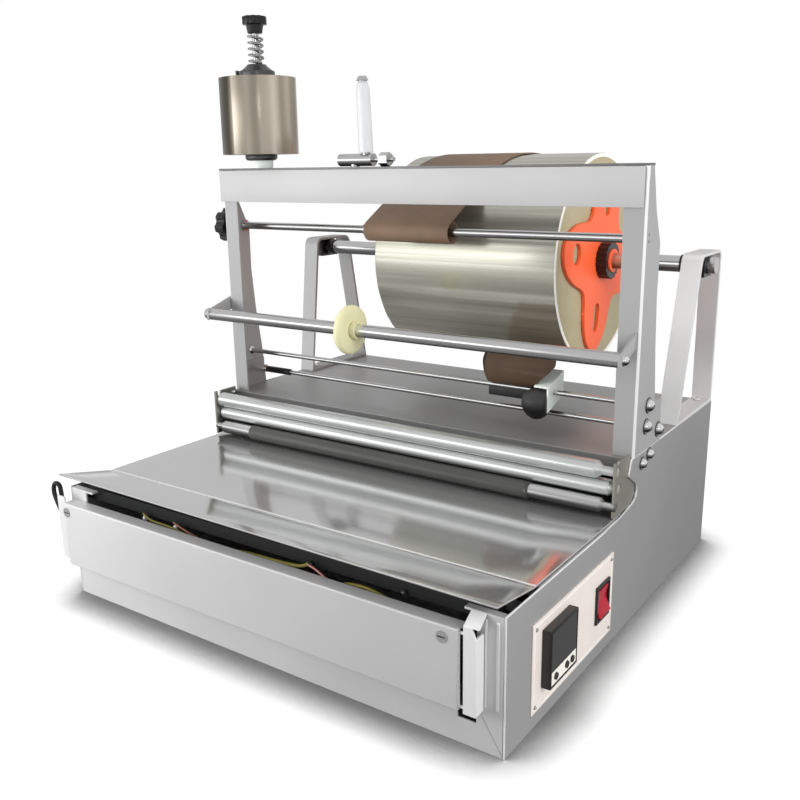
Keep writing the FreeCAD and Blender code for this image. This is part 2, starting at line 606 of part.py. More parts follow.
# Feed rollers between end plates
plate_y0 = ROLLER_Y - 6.0
plate_y1 = DECK_FRONT + SHEET
end_x1 = IN_X
end_x0 = IN_X - END_PLATE_T
nip_y = ROLLER_Y + 3.0
nip_z = ROLLER_Z - NIP_DROP
step_z = DECK_H - DECK_LIP - 0.5
end_pts = [(plate_y0, LOWER_Z - 9.0), (plate_y0, ROLLER_Z + 9.0), (DECK_FRONT, ROLLER_Z + 9.0),
           (DECK_FRONT, step_z), (12.0, step_z), (12.0, LOWER_Z), (4.0, LOWER_Z - 9.0)]
bores = [rod_x(end_x0 - 1, HW + 1, ROLLER_Y, ROLLER_Z, JOURNAL_R + RUN_FIT),
         rod_x(end_x0 - 1, HW + 1, nip_y, nip_z, JOURNAL_R + RUN_FIT),
         rod_x(end_x0 - 1, HW + 1, LOWER_Y, LOWER_Z, JOURNAL_R + RUN_FIT)]
hook = box(end_x0 - 1, end_x1 + 1, ROLLER_Y - 2.2, ROLLER_Y + 2.2, ROLLER_Z, ROLLER_Z + 20)
end_plate = cut(plate_x(end_pts, end_x0, end_x1), bores + [hook])
NODES["roller_plates"] = group([end_plate, mirror(end_plate)])
for sign in (1, -1):
    for y, z in ((-8.0, ROLLER_Z + 2.6), (0.0, nip_z + 1.2), (2.0, LOWER_Z + 1.4)):
        heads.append(dome_x(sign * end_x0, y, z, 2.6, 2.0, -sign))
face_in = end_x0 - SEAT_GAP
TAPER = 5.0


def roller(y, z, r, x0, x1):
    body = rod_x(x0, x1, y, z, r)
    ends = [cone_x(x0 - TAPER, x0, y, z, JOURNAL_R, r), cone_x(x1, x1 + TAPER, y, z, r, JOURNAL_R)]
    return join([body, rod_x(-end_x1 + SEAT_GAP, end_x1 - SEAT_GAP, y, z, JOURNAL_R)] + ends)


NODES["roller_top"] = roller(ROLLER_Y, ROLLER_Z, ROLLER_R, -face_in + TAPER, face_in - 16.0)
NODES["roller_nip"] = roller(nip_y, nip_z, NIP_R, -face_in + TAPER, face_in - TAPER)
lower_steel = join([rod_x(-face_in + 10, face_in - 10, LOWER_Y, LOWER_Z, LOWER_R - 1.0),
                    rod_x(-end_x1 + SEAT_GAP, end_x1 - SEAT_GAP, LOWER_Y, LOWER_Z, JOURNAL_R)])
NODES["roller_lower"] = lower_steel
grip_x0 = -183.0
grip_x1 = 139.0
grip = rod_x(grip_x0, grip_x1, LOWER_Y, LOWER_Z, LOWER_R)
NODES["roller_grip"] = grip.cut(rod_x(grip_x0 - 1, grip_x1 + 1, LOWER_Y, LOWER_Z, LOWER_R - 1.0))
well_y = DECK_FRONT + SHEET
WELL_BEND = 17.0
well_line = [(well_y + 1.2, DECK_H - SHEET - SEAT_GAP), (well_y + 16, under + WELL_BEND),
             (well_y + 14, under + 5.0), (TABLE_BACK + 2, under - 1.0), (TABLE_BACK - 8, under - 1.2)]
NODES["roller_well"] = plate_x(bent(well_line, 1.0), -end_x0, end_x0)

# Rear brackets that carry the shaft
LEAN = BRACKET_LEAN / (BRACKET_TOP - DECK_H)


def leaning(points, x0, x1):
    wires = []
    for x in (x0, x1):
        pts = [V(x + LEAN * (z - DECK_H), y, z) for y, z in points]
        wires.append(Part.makePolygon(pts + pts[:1]))
    return Part.makeLoft(wires, True, True)


t = BRACKET_T


def bend(before, corner, after, r):
    """Points on a bend of radius r in place of the corner."""
    c = V(corner[0], corner[1], 0)
    u = (V(before[0], before[1], 0) - c).normalize()
    w = (V(after[0], after[1], 0) - c).normalize()
    half = u.getAngle(w) / 2
    mid = c + (u + w).normalize() * (r / math.sin(half))
    a = c + u * (r / math.tan(half)) - mid
    b = c + w * (r / math.tan(half)) - mid
    out = []
    for i in range(5):
        p = (a * (4 - i) + b * i).normalize() * r + mid
        out.append((p.x, p.y))
    return out


def arch(inset):
    foot_y = 1.1 * inset
    pts = [(FOOT_FRONT + foot_y, DECK_H + inset), (TOP_FRONT + inset, BRACKET_TOP - inset),
           (TOP_BACK - inset, BRACKET_TOP - inset), (FOOT_BACK - foot_y, DECK_H + inset)]
    r = BRACKET_BEND - inset
    return pts[:1] + bend(pts[0], pts[1], pts[2], r) + bend(pts[1], pts[2], pts[3], r) + pts[3:]


outer = arch(0)
inner = arch(t)
br_x1 = HW
br_x0 = HW - BRACKET_W
bracket = leaning(outer, br_x0, br_x1).cut(leaning(inner, br_x0 - 5, br_x1 + 5))
NODES["rear_brackets"] = group([bracket, mirror(bracket)])
BLOCK_W = 14.0
blk_x1 = HW + BRACKET_LEAN - 2.0
blk_x0 = blk_x1 - BLOCK_W
block = box(blk_x0, blk_x1, SHAFT_Y - 12, SHAFT_Y + 12, SHAFT_Z - 11, BRACKET_TOP - t)
block = block.cut(rod_x(blk_x0 - 1, blk_x1 + 1, SHAFT_Y, SHAFT_Z, SHAFT_R + RUN_FIT))
NODES["bearing_blocks"] = group([block, mirror(block)])
for sign in (1, -1):
    for y in (FOOT_FRONT + 16, FOOT_BACK - 16):
        x = sign * (br_x0 + BRACKET_W / 2)
        heads.append(join([rod_z(x, y, DECK_H + t, DECK_H + t + 1.5, 4.0),
                           cone_z(x, y, DECK_H + t + 1.5, DECK_H + t + 3.0, 4.0, 2.4)]))
NODES["frame_fasteners"] = group(heads)

# Shaft, roll, end flanges and their ring nuts
shaft = rod_x(-SHAFT_TIP_L, SHAFT_TIP_R, SHAFT_Y, SHAFT_Z, SHAFT_R)
NODES["roll_shaft"] = shaft
collars = []
collar_r = BRACKET_TOP - t - SEAT_GAP - SHAFT_Z
for s in (1, -1):
    xs = sorted((s * (blk_x0 - SEAT_GAP), s * (blk_x0 - SEAT_GAP - 12.0)))
    c = rod_x(xs[0], xs[1], SHAFT_Y, SHAFT_Z, collar_r)
    collars.append(c.cut(rod_x(xs[0] - 1, xs[1] + 1, SHAFT_Y, SHAFT_Z, SHAFT_R)))
NODES["shaft_collars"] = group(collars)
core = rod_x(ROLL_L, ROLL_R_END, SHAFT_Y, SHAFT_Z, CORE_RAD)
hub_r = CORE_RAD - CORE_T
NODES["roll_core"] = core.cut(rod_x(ROLL_L - 1, ROLL_R_END + 1, SHAFT_Y, SHAFT_Z, hub_r))
film = rod_x(ROLL_L, ROLL_R_END, SHAFT_Y, SHAFT_Z, ROLL_RAD)
NODES["film_roll"] = film.cut(rod_x(ROLL_L - 1, ROLL_R_END + 1, SHAFT_Y, SHAFT_Z, CORE_RAD))


def slot_face(cy, cz, length, width, direction):
    half = length / 2 - width / 2
    dy = math.cos(direction) * half
    dz = math.sin(direction) * half
    ends = [rod_x(-HW, HW, cy + s * dy, cz + s * dz, width / 2) for s in (1, -1)]
    ny = -math.sin(direction) * width / 2
    nz = math.cos(direction) * width / 2
    pts = [(cy + dy + ny, cz + dz + nz), (cy - dy + ny, cz - dz + nz), (cy - dy - ny, cz - dz - nz),
           (cy + dy - ny, cz + dz - nz)]
    return join([plate_x(pts, -HW, HW)] + ends)


def cross(x0, x1):
    turn = math.radians(FLANGE_TURN)
    pts = []
    for i in range(48):
        a = 2 * math.pi * i / 48
        r = FLANGE_MEAN + FLANGE_WAVE * math.cos(4 * (a + turn))
        pts.append(V(x0, SHAFT_Y + r * math.cos(a), SHAFT_Z + r * math.sin(a)))
    c = Part.BSplineCurve()
    c.interpolate(pts, PeriodicFlag=True)
    plate = Part.Face(Part.Wire(c.toShape())).extrude(V(x1 - x0, 0, 0))
    tools = []
    for k in range(4):
        a = math.pi / 2 * k - turn
        far = FLANGE_MEAN - (SLOT_IN if k % 2 else HOLE_IN)
        cy = SHAFT_Y + far * math.cos(a)
        cz = SHAFT_Z + far * math.sin(a)
        if k % 2:
            tools.append(slot_face(cy, cz, SLOT_L, SLOT_W, a))
        else:
            tools.append(slot_face(cy, cz, HOLE_L, HOLE_W, a + math.pi / 2))
    return cut(plate, tools)


def flange(side):
    """An end flange: a cross-shaped plate, a plug in the core and a threaded neck."""
    if side > 0:
        face = ROLL_R_END + SEAT_GAP
        x = (face, face + FLANGE_T)
        plug = rod_x(face - PLUG_L, face, SHAFT_Y, SHAFT_Z, hub_r - RUN_FIT)
        neck = rod_x(face + FLANGE_T, face + FLANGE_T + NUT_L + NECK_OVER, SHAFT_Y, SHAFT_Z, NECK_R)
    else:
        face = ROLL_L - SEAT_GAP
        x = (face - FLANGE_T, face)
        plug = rod_x(face, face + PLUG_L, SHAFT_Y, SHAFT_Z, hub_r - RUN_FIT)
        neck = rod_x(face - FLANGE_T - NUT_L - NECK_OVER, face - FLANGE_T, SHAFT_Y, SHAFT_Z, NECK_R)
    body = join([cross(*x), plug, neck])
    return body.cut(rod_x(-HW, HW, SHAFT_Y, SHAFT_Z, SHAFT_R + RUN_FIT))


def ring_nut(side):
    if side > 0:
        x0 = ROLL_R_END + SEAT_GAP + FLANGE_T + SEAT_GAP
        x1 = x0 + NUT_L
    else:
        x1 = ROLL_L - SEAT_GAP - FLANGE_T - SEAT_GAP
        x0 = x1 - NUT_L
    ring = rod_x(x0, x1, SHAFT_Y, SHAFT_Z, NUT_R)
    for i in range(18):
        a = math.radians(20.0 * i)
        y = SHAFT_Y + (NUT_R + 0.6) * math.cos(a)
        z = SHAFT_Z + (NUT_R + 0.6) * math.sin(a)
        ring = ring.cut(rod_x(x0 - 1, x1 + 1, y, z, 1.7))
    return ring.cut(rod_x(x0 - 1, x1 + 1, SHAFT_Y, SHAFT_Z, NECK_R + RUN_FIT))


NODES["flange_right"] = flange(1)
NODES["flange_left"] = flange(-1)
NODES["ring_nut_right"] = ring_nut(1)
NODES["ring_nut_left"] = ring_nut(-1)

# Brake strap: looped on the turning rod, round the roll and down to the clip
loop_z = KNOB_ROD_Z + KNOB_ROD_R + MOVE_GAP - (STRAP_LOOP_R - STRAP_T)
strap_in = ROLL_RAD + MOVE_GAP
STEP_DEG = 9.0
wrap_r = strap_in / math.cos(math.radians(STEP_DEG / 2))
dy = SHAFT_Y - KNOB_ROD_Y
dz = SHAFT_Z - loop_z
gap = math.hypot(dy, dz)
lead = math.atan2(dz, dy) + math.asin((wrap_r - (STRAP_LOOP_R - STRAP_T)) / gap)
start_a = math.degrees(lead) + 90.0
BAR_RISE = 0.5
CURL_Y = ROD1_Y + 1.0
CURL_Z = ROD1_Z + 37.0
cy = CURL_Y - SHAFT_Y
cz = CURL_Z - SHAFT_Z
reach = math.hypot(cy, cz)
end_a = math.degrees(math.atan2(cz, cy)) % 360.0 + math.degrees(math.acos(wrap_r / reach)) - 360.0


def strap_section(y, z, ny, nz, x0, x1):
    out_y = y + ny * STRAP_T
    out_z = z + nz * STRAP_T
    pts = [V(x0, y, z), V(x1, y, z), V(x1, out_y, out_z), V(x0, out_y, out_z)]
    return Part.makePolygon(pts + pts[:1])


sections = []
a0 = math.radians(start_a)
inner_r = STRAP_LOOP_R - STRAP_T
sections.append(strap_section(KNOB_ROD_Y + inner_r * math.cos(a0), loop_z + inner_r * math.sin(a0),
                              math.cos(a0), math.sin(a0), STRAP_L, STRAP_L + STRAP_W))
steps = int((start_a - end_a) / STEP_DEG)
run = [start_a - (start_a - end_a) * i / steps for i in range(steps + 1)]
for a in run:
    r = math.radians(a)
    shift = STRAP_SHIFT * (start_a - a) / (start_a - end_a)
    left = STRAP_L + shift
    sections.append(strap_section(SHAFT_Y + wrap_r * math.cos(r), SHAFT_Z + wrap_r * math.sin(r),
                                  math.cos(r), math.sin(r), left, left + STRAP_W - STRAP_TAPER * shift))

# The curl from the roll's underside down to the clip: y and z from the tie rod, then the two edges
CURL = [(1.0, 37.0, 76.0, 152.0), (-5.0, 32.5, 78.0, 153.0), (-9.5, 25.5, 79.0, 152.0),
        (-10.0, 16.5, 79.5, 144.0), (-7.0, 9.0, 82.0, 136.0), (-1.0, 4.8, 83.0, 133.5),
        (4.5, 3.0, 83.0, 133.0)]
for i, (y, z, left, right) in enumerate(CURL):
    before = CURL[max(i - 1, 0)]
    after = CURL[min(i + 1, len(CURL) - 1)]
    n = V(before[1] - after[1], after[0] - before[0], 0).normalize()
    if i == 0:
        n = V(math.cos(math.radians(end_a)), math.sin(math.radians(end_a)), 0)
    sections.append(strap_section(ROD1_Y + y, ROD1_Z + z, n.x, n.y, left, right))
band = Part.makeLoft(sections, True, True)
loop = rod_x(STRAP_L, STRAP_L + STRAP_W, KNOB_ROD_Y, loop_z, STRAP_LOOP_R)
loop = loop.cut(rod_x(STRAP_L - 1, STRAP_L + STRAP_W + 1, KNOB_ROD_Y, loop_z, inner_r))
band = band.cut(rod_x(-HW, HW, KNOB_ROD_Y, loop_z, STRAP_LOOP_R))
NODES["brake_strap"] = group([loop, band])

# Clip at the strap's lower end, on the upper tie rod
PAD_X0 = 123.0
PAD_X1 = 148.0
PAD_R = 13.5
PAD_Y = ROD1_Y - 9.0
PAD_Z = ROD1_Z - 9.5
bar_x0 = 80.0
rod_cut = rod_x(-HW, HW, ROD1_Y, ROD1_Z, ROD_R)
pad = rod_x(PAD_X0, PAD_X1, PAD_Y, PAD_Z, PAD_R)
pad = pad.makeFillet(6.0, [e for e in pad.Edges if e.BoundBox.XLength < 0.01])
pad = pad.cut(rod_cut)
bar = box(bar_x0, PAD_X0, ROD1_Y - 1.0, ROD1_Y + 11.0, ROD1_Z - 11.0, ROD1_Z + BAR_RISE)
NODES["rod_rubbers"] = group([rod_sleeve, pad, bar.cut(rod_cut)])
CLIP_T = 1.6
clip_y0 = PAD_Y - 4
clip_y1 = PAD_Y + 30
clip_side = [(clip_y0, PAD_Z - 8), (clip_y0, PAD_Z + 15), (clip_y1, PAD_Z + 25), (clip_y1, PAD_Z + 3)]
clip_top = [(clip_y0, PAD_Z + 15), (clip_y0, PAD_Z + 15 + CLIP_T),
            (clip_y1, PAD_Z + 25 + CLIP_T), (clip_y1, PAD_Z + 25)]
clip = join([plate_x(clip_side, PAD_X1, PAD_X1 + CLIP_T), plate_x(clip_top, PAD_X1 - 13.0, PAD_X1 + CLIP_T)])
NODES["strap_clip"] = clip.cut(rod_x(PAD_X1 - 1, PAD_X1 + 3, ROD1_Y, ROD1_Z, ROD_R))

# Tape spindle on the beam
z0 = BEAM_TOP
z_collar = z0 + CONE_H
z_reel = z_collar + COLLAR_H
z_cup = z_reel + REEL_H + MOVE_GAP
z_spring = z_cup + CUP_H
z_knob = z_spring + SPRING_H
spindle = rod_z(SPINDLE_X, SPINDLE_Y, BEAM_TOP - SHEET - 3.0, z_knob + 1.2, SPINDLE_R)
spindle_bore = rod_z(SPINDLE_X, SPINDLE_Y, z0 - 10, z0 + 200, SPINDLE_R)
NODES["spindle_base"] = cone_z(SPINDLE_X, SPINDLE_Y, z0, z_collar, 11.5, 12.5).cut(spindle_bore)
spindle_collar = rod_z(SPINDLE_X, SPINDLE_Y, z_collar, z_reel - SEAT_GAP, 17.0).cut(spindle_bore)
reel_bore = rod_z(SPINDLE_X, SPINDLE_Y, z0, z0 + 200, SPINDLE_R + RUN_FIT)
NODES["reel_core"] = rod_z(SPINDLE_X, SPINDLE_Y, z_reel, z_reel + REEL_H, REEL_CORE_R).cut(reel_bore)
reel = rod_z(SPINDLE_X, SPINDLE_Y, z_reel, z_reel + REEL_H, REEL_R)
NODES["tape_reel"] = reel.cut(rod_z(SPINDLE_X, SPINDLE_Y, z_reel - 1, z_reel + REEL_H + 1, REEL_CORE_R))
cup = join([cone_z(SPINDLE_X, SPINDLE_Y, z_cup + 6, z_spring, CUP_R, 9.5),
            rod_z(SPINDLE_X, SPINDLE_Y, z_cup, z_cup + 6, CUP_R)])
cup_screw = join([
    Part.makeCylinder(2.0, 8.0, V(SPINDLE_X - CUP_R + 0.6, SPINDLE_Y, z_cup + 3.5), V(-1, 0, 0)),
    box(SPINDLE_X - CUP_R - 8.5, SPINDLE_X - CUP_R - 6.5, SPINDLE_Y - 4.5, SPINDLE_Y + 4.5, z_cup + 1.0, z_cup + 6.5)])
NODES["reel_cups"] = group([cup.cut(spindle_bore), cup_screw, spindle_collar])
coil_h = SPRING_H - 2 * SPRING_WIRE - SEAT_GAP
helix = Part.makeHelix(coil_h / 4.5, coil_h, SPRING_R)
ring = Part.Wire(Part.Circle(V(SPRING_R, 0, 0), V(0, 1, 0), SPRING_WIRE).toShape())
spring = Part.Wire(helix.Edges).makePipeShell([ring], True, True)
spring.translate(V(SPINDLE_X, SPINDLE_Y, z_spring + SPRING_WIRE))
NODES["spindle_spring"] = spring
knob = join([cone_z(SPINDLE_X, SPINDLE_Y, z_knob, z_knob + KNOB_STEM, 7.5, 9.0),
             rod_z(SPINDLE_X, SPINDLE_Y, z_knob + KNOB_STEM, z_knob + KNOB_H, 12.5)])
for i in range(10):
    a = math.radians(36.0 * i)
    x = SPINDLE_X + 13.6 * math.cos(a)
    y = SPINDLE_Y + 13.6 * math.sin(a)
    knob = knob.cut(rod_z(x, y, z_knob + KNOB_STEM - 0.5, z_knob + KNOB_H + 1, 2.4))
knob_bore = rod_z(SPINDLE_X, SPINDLE_Y, z_knob - 1, z_knob + KNOB_H - 2.5, SPINDLE_R + RUN_FIT)
NODES["tension_knob"] = knob.cut(knob_bore)

# Guide pin with a turning sleeve, held by a cross clamp on the beam
clamp_z = BEAM_TOP + CLAMP_RISE
pin_axis = V(-math.sin(math.radians(PIN_LEAN)), 0, math.cos(math.radians(PIN_LEAN)))
pin_foot = V(PIN_X, PIN_Y, clamp_z)


def on_pin(d):
    return pin_foot + pin_axis * d


sleeve_end = SLEEVE_AT + SLEEVE_H
pin = Part.makeCylinder(PIN_R, sleeve_end + 4.0, pin_foot, pin_axis)
tip = Part.makeCone(PIN_R + 2.0, PIN_R, 4.0, on_pin(sleeve_end + 1.0), pin_axis)
clamp = rod_x(PIN_X - 32, PIN_X + 9, PIN_Y, clamp_z, CLAMP_R)
pad_r = rod_z(PIN_X - 14, PIN_Y, BEAM_TOP, clamp_z, 4.5)
clamp_all = join([clamp, pad_r, rod_z(PIN_X - 14, PIN_Y, BEAM_TOP - SHEET - 3, clamp_z, PIN_FOOT_R)])
stud = rod_x(PIN_X + 9, PIN_X + 33, PIN_Y, clamp_z, 2.2)
guide_pin = join([pin, tip]).cut(clamp)
clamp_stud = join([stud, hex_nut(PIN_X + 18, PIN_Y, clamp_z, 30, CLAMP_NUT, CLAMP_NUT_T)])
NODES["beam_pins"] = group([spindle, guide_pin, clamp_all, clamp_stud])
sleeve_taper = Part.makeCone(SLEEVE_R, SLEEVE_R - 1.8, 5.0, on_pin(sleeve_end - 5.0), pin_axis)
sleeve_solid = join([Part.makeCylinder(SLEEVE_R, SLEEVE_H - 5.0, on_pin(SLEEVE_AT), pin_axis), sleeve_taper])
sleeve_bore = Part.makeCylinder(PIN_R + RUN_FIT, SLEEVE_H + 4, on_pin(SLEEVE_AT - 2.0), pin_axis)
NODES["pin_sleeve"] = sleeve_solid.cut(sleeve_bore)

# Control plate, controller and rocker switch on the right panel
x_plate = HW + PLATE_T
plate = box(HW, x_plate, PLATE_Y0, PLATE_Y1, PLATE_Z0, PLATE_Z1)
NODES["control_plate"] = cut(plate, [ctrl_hole, rocker_hole])
corner = 5.0
for y in (PLATE_Y0 + corner, PLATE_Y1 - corner):
    for z in (PLATE_Z0 + corner, PLATE_Z1 - corner):
        panel_heads.append(dome_x(x_plate, y, z, 2.2, 1.2, 1))
NODES["panel_screws"] = group(panel_heads)
x_face = x_plate + CTRL_PROUD
bezel = box(x_plate, x_face, CTRL_Y, CTRL_Y + CTRL_SIZE, CTRL_Z, CTRL_Z + CTRL_SIZE)
case = box(x_plate - CTRL_DEPTH, x_plate, ctrl_mid_y - CTRL_BODY / 2, ctrl_mid_y + CTRL_BODY / 2,
           ctrl_mid_z - CTRL_BODY / 2, ctrl_mid_z + CTRL_BODY / 2)
RIM = 2.5
STRIP_H = 11.0
WINDOW_T = 1.5
window = box(x_face - WINDOW_T, x_face - 0.3, CTRL_Y + RIM, CTRL_Y + CTRL_SIZE - RIM,
             CTRL_Z + RIM + STRIP_H, CTRL_Z + CTRL_SIZE - RIM)
key_strip = box(x_face - WINDOW_T, x_face - 0.3, CTRL_Y + RIM, CTRL_Y + CTRL_SIZE - RIM,
                CTRL_Z + RIM, CTRL_Z + RIM + STRIP_H)
pocket = box(x_face - WINDOW_T, x_face + 1, CTRL_Y + RIM, CTRL_Y + CTRL_SIZE - RIM,
             CTRL_Z + RIM, CTRL_Z + CTRL_SIZE - RIM)
button_z = CTRL_Z + RIM + STRIP_H / 2
button_ys = [CTRL_Y + CTRL_SIZE * k for k in (0.2, 0.6, 0.8)]
wells = [rod_x(x_face - 5.0, x_face + 2, y, button_z, BUTTON_R + SEAT_GAP) for y in button_ys]
NODES["controller_case"] = cut(join([bezel, case]), [pocket] + wells)
NODES["controller_window"] = window
NODES["controller_strip"] = cut(key_strip, wells)
for name, y in zip(("button_set", "button_down", "button_up"), button_ys):
    NODES[name] = rod_x(x_face - 5.0 + BUTTON_TRAVEL + SEAT_GAP, x_face + 0.8, y, button_z, BUTTON_R)

rim_out = box(x_plate, x_plate + 2.0, ROCKER_Y - ROCKER_W / 2, ROCKER_Y + ROCKER_W / 2,
              ROCKER_Z - ROCKER_H / 2, ROCKER_Z + ROCKER_H / 2)
rim_in = box(x_plate - 22.0, x_plate, ROCKER_Y - ROCKER_W / 2 + 1, ROCKER_Y + ROCKER_W / 2 - 1,
             ROCKER_Z - ROCKER_H / 2 + 1, ROCKER_Z + ROCKER_H / 2 - 1)
rim_well = box(x_plate - 14.0, x_plate + 3.0, ROCKER_Y - ROCKER_BODY_W / 2, ROCKER_Y + ROCKER_BODY_W / 2,
               ROCKER_Z - ROCKER_BODY_H / 2, ROCKER_Z + ROCKER_BODY_H / 2)
pivot_x = x_plate - 1.5
pivot_half = ROCKER_BODY_W / 2 + 1.0
pivot_hole = rod_y(pivot_x, ROCKER_Y - pivot_half - SEAT_GAP, ROCKER_Y + pivot_half + SEAT_GAP, ROCKER_Z,
                   PIVOT_R + RUN_FIT)
NODES["rocker_frame"] = join([rim_out, rim_in]).cut(rim_well).cut(pivot_hole)
half = ROCKER_BODY_H / 2 - 2.6
key_pts = [(-4.0, -half), (4.6, -half), (2.0, -half * 0.3), (1.6, 0),
           (2.0, half * 0.3), (4.6, half), (-4.0, half)]
tilt = math.radians(ROCKER_TILT)
pts = []
for dx, dz in key_pts:
    px = pivot_x + dx * math.cos(tilt) - dz * math.sin(tilt)
    pz = ROCKER_Z + dz * math.cos(tilt) + dx * math.sin(tilt)
    pts.append(V(px, ROCKER_Y - ROCKER_BODY_W / 2 + SEAT_GAP, pz))
key = Part.Face(Part.makePolygon(pts + pts[:1])).extrude(V(0, ROCKER_BODY_W - 2 * SEAT_GAP, 0))
pivot_pin = rod_y(pivot_x, ROCKER_Y - pivot_half, ROCKER_Y + pivot_half, ROCKER_Z, PIVOT_R)
NODES["rocker_key"] = join([key, pivot_pin])

os.makedirs("parts", exist_ok=True)
for name, shape in NODES.items():
    shape.exportStep("parts/" + name + ".step")
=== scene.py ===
import json
import math

import bmesh
import bpy
from mathutils import Matrix, Vector


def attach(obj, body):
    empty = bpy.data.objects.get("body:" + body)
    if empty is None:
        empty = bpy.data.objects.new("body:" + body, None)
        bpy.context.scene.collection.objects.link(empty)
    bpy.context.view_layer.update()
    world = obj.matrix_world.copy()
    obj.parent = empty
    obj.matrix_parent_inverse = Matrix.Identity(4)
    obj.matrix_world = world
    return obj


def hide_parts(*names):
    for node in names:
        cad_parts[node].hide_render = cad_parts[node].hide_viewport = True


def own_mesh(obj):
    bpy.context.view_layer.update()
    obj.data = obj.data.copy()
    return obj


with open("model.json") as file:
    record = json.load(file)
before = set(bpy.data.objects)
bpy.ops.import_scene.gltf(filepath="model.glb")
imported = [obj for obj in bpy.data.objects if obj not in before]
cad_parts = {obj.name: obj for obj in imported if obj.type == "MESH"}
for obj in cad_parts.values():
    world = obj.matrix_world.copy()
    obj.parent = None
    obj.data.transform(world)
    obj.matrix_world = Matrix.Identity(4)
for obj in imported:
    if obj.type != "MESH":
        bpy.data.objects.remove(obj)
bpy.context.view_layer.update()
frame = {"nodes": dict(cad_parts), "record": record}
CAD = frame["nodes"]
BODY = {n: b for b, names in frame["record"]["behaviour"]["bodies"].items() for n in names}
MM = 0.001


# Material graphs

def graph(name):
    """A new material with its node tree and main shader."""
    mat = bpy.data.materials.new(name)
    mat.use_nodes = True
    tree = mat.node_tree
    tree.nodes.clear()
    out = tree.nodes.new("ShaderNodeOutputMaterial")
    skin = tree.nodes.new("ShaderNodeBsdfPrincipled")
    tree.links.new(skin.outputs["BSDF"], out.inputs["Surface"])
    return mat, tree, skin


def add(tree, kind, **settings):
    """A node of that kind; sockets are set by name, properties by attribute."""
    node = tree.nodes.new(kind)
    for key, value in settings.items():
        if key in node.inputs.keys():
            node.inputs[key].default_value = value
        else:
            setattr(node, key, value)
    return node


def wire(tree, a, out_name, b, in_name):
    tree.links.new(a.outputs[out_name], b.inputs[in_name])


def placed(tree, scale=(1, 1, 1), shift=(0, 0, 0)):
    """Object coordinates in metres, scaled for a pattern."""
    coords = add(tree, "ShaderNodeTexCoord")
    mapping = add(tree, "ShaderNodeMapping")
    mapping.inputs["Scale"].default_value = scale
    mapping.inputs["Location"].default_value = shift
    wire(tree, coords, "Object", mapping, "Vector")
    return mapping


def noise(tree, mapping, size, detail=3.0, rough=0.55):
    """Noise whose features are about size metres across."""
    n = add(tree, "ShaderNodeTexNoise", Detail=detail, Roughness=rough)
    n.inputs["Scale"].default_value = 1.0 / size
    wire(tree, mapping, "Vector", n, "Vector")
    return n


def remap(tree, socket, low, high, from_low=0.3, from_high=0.7):
    r = add(tree, "ShaderNodeMapRange")
    r.inputs["From Min"].default_value = from_low
    r.inputs["From Max"].default_value = from_high
    r.inputs["To Min"].default_value = low
    r.inputs["To Max"].default_value = high
    tree.links.new(socket, r.inputs["Value"])
    return r.outputs["Result"]


def tint(tree, factor, dark, light):
    """A colour between two, by a factor socket."""
    mix = add(tree, "ShaderNodeMix", data_type="RGBA")
    mix.inputs[6].default_value = (*dark, 1)
    mix.inputs[7].default_value = (*light, 1)
    tree.links.new(factor, mix.inputs[0])
    return mix.outputs[2]


def bump(tree, skin, socket, strength, depth):
    b = add(tree, "ShaderNodeBump", Strength=strength, Distance=depth)
    tree.links.new(socket, b.inputs["Height"])
    wire(tree, b, "Normal", skin, "Normal")


def srgb(r, g, b):
    """Linear colour from the 0-255 values seen on a screen."""
    out = []
    for c in (r, g, b):
        c = c / 255.0
        out.append(c / 12.92 if c <= 0.04045 else ((c + 0.055) / 1.055) ** 2.4)
    return tuple(out)


def scaled(tree, colour, factor):
    mix = add(tree, "ShaderNodeMix", data_type="RGBA", blend_type="MULTIPLY")
    mix.inputs[0].default_value = 1.0
    tree.links.new(colour, mix.inputs[6])
    tree.links.new(factor, mix.inputs[7])
    return mix.outputs[2]


def shaded(tree, colour, kind, axis, low, high, start, end):
    """Painted light and shade: a colour scaled by the way the surface turns, or by where it lies, along one
    axis.
    """
    split = add(tree, "ShaderNodeSeparateXYZ")
    if kind == "turn":
        wire(tree, add(tree, "ShaderNodeNewGeometry"), "Normal", split, "Vector")
    else:
        wire(tree, placed(tree), "Vector", split, "Vector")
    return scaled(tree, colour, remap(tree, split.outputs[axis], low, high, start, end))


def steel(name, grey, rough, grain=(1, 1, 1), metal=1.0, depth=0.02, spread=0.03, drift=0.03, tone=(1, 1, 1),
          by=None):
    """Metal with a fine grain along one axis and faint clouding."""
    mat, tree, skin = graph(name)
    skin.inputs["Metallic"].default_value = metal
    base = [c * t for c, t in zip(srgb(grey, grey, grey), tone)]
    low = tuple(c * (1 - drift) for c in base)
    high = tuple(min(1.0, c * (1 + drift)) for c in base)
    fine = noise(tree, placed(tree, grain), 0.0016, 3.0, 0.5)
    cloud = noise(tree, placed(tree), 0.12, 2.0, 0.5)
    colour = tint(tree, remap(tree, cloud.outputs["Fac"], 0.0, 1.0), low, high)
    # Painted light and shade, when the finish asks for it
    if by:
        colour = shaded(tree, colour, *by)
    tree.links.new(colour, skin.inputs["Base Color"])
    sheen = remap(tree, fine.outputs["Fac"], rough - spread, rough + spread)
    tree.links.new(sheen, skin.inputs["Roughness"])
    if depth:
        bump(tree, skin, fine.outputs["Fac"], depth, 0.0003)
    return mat


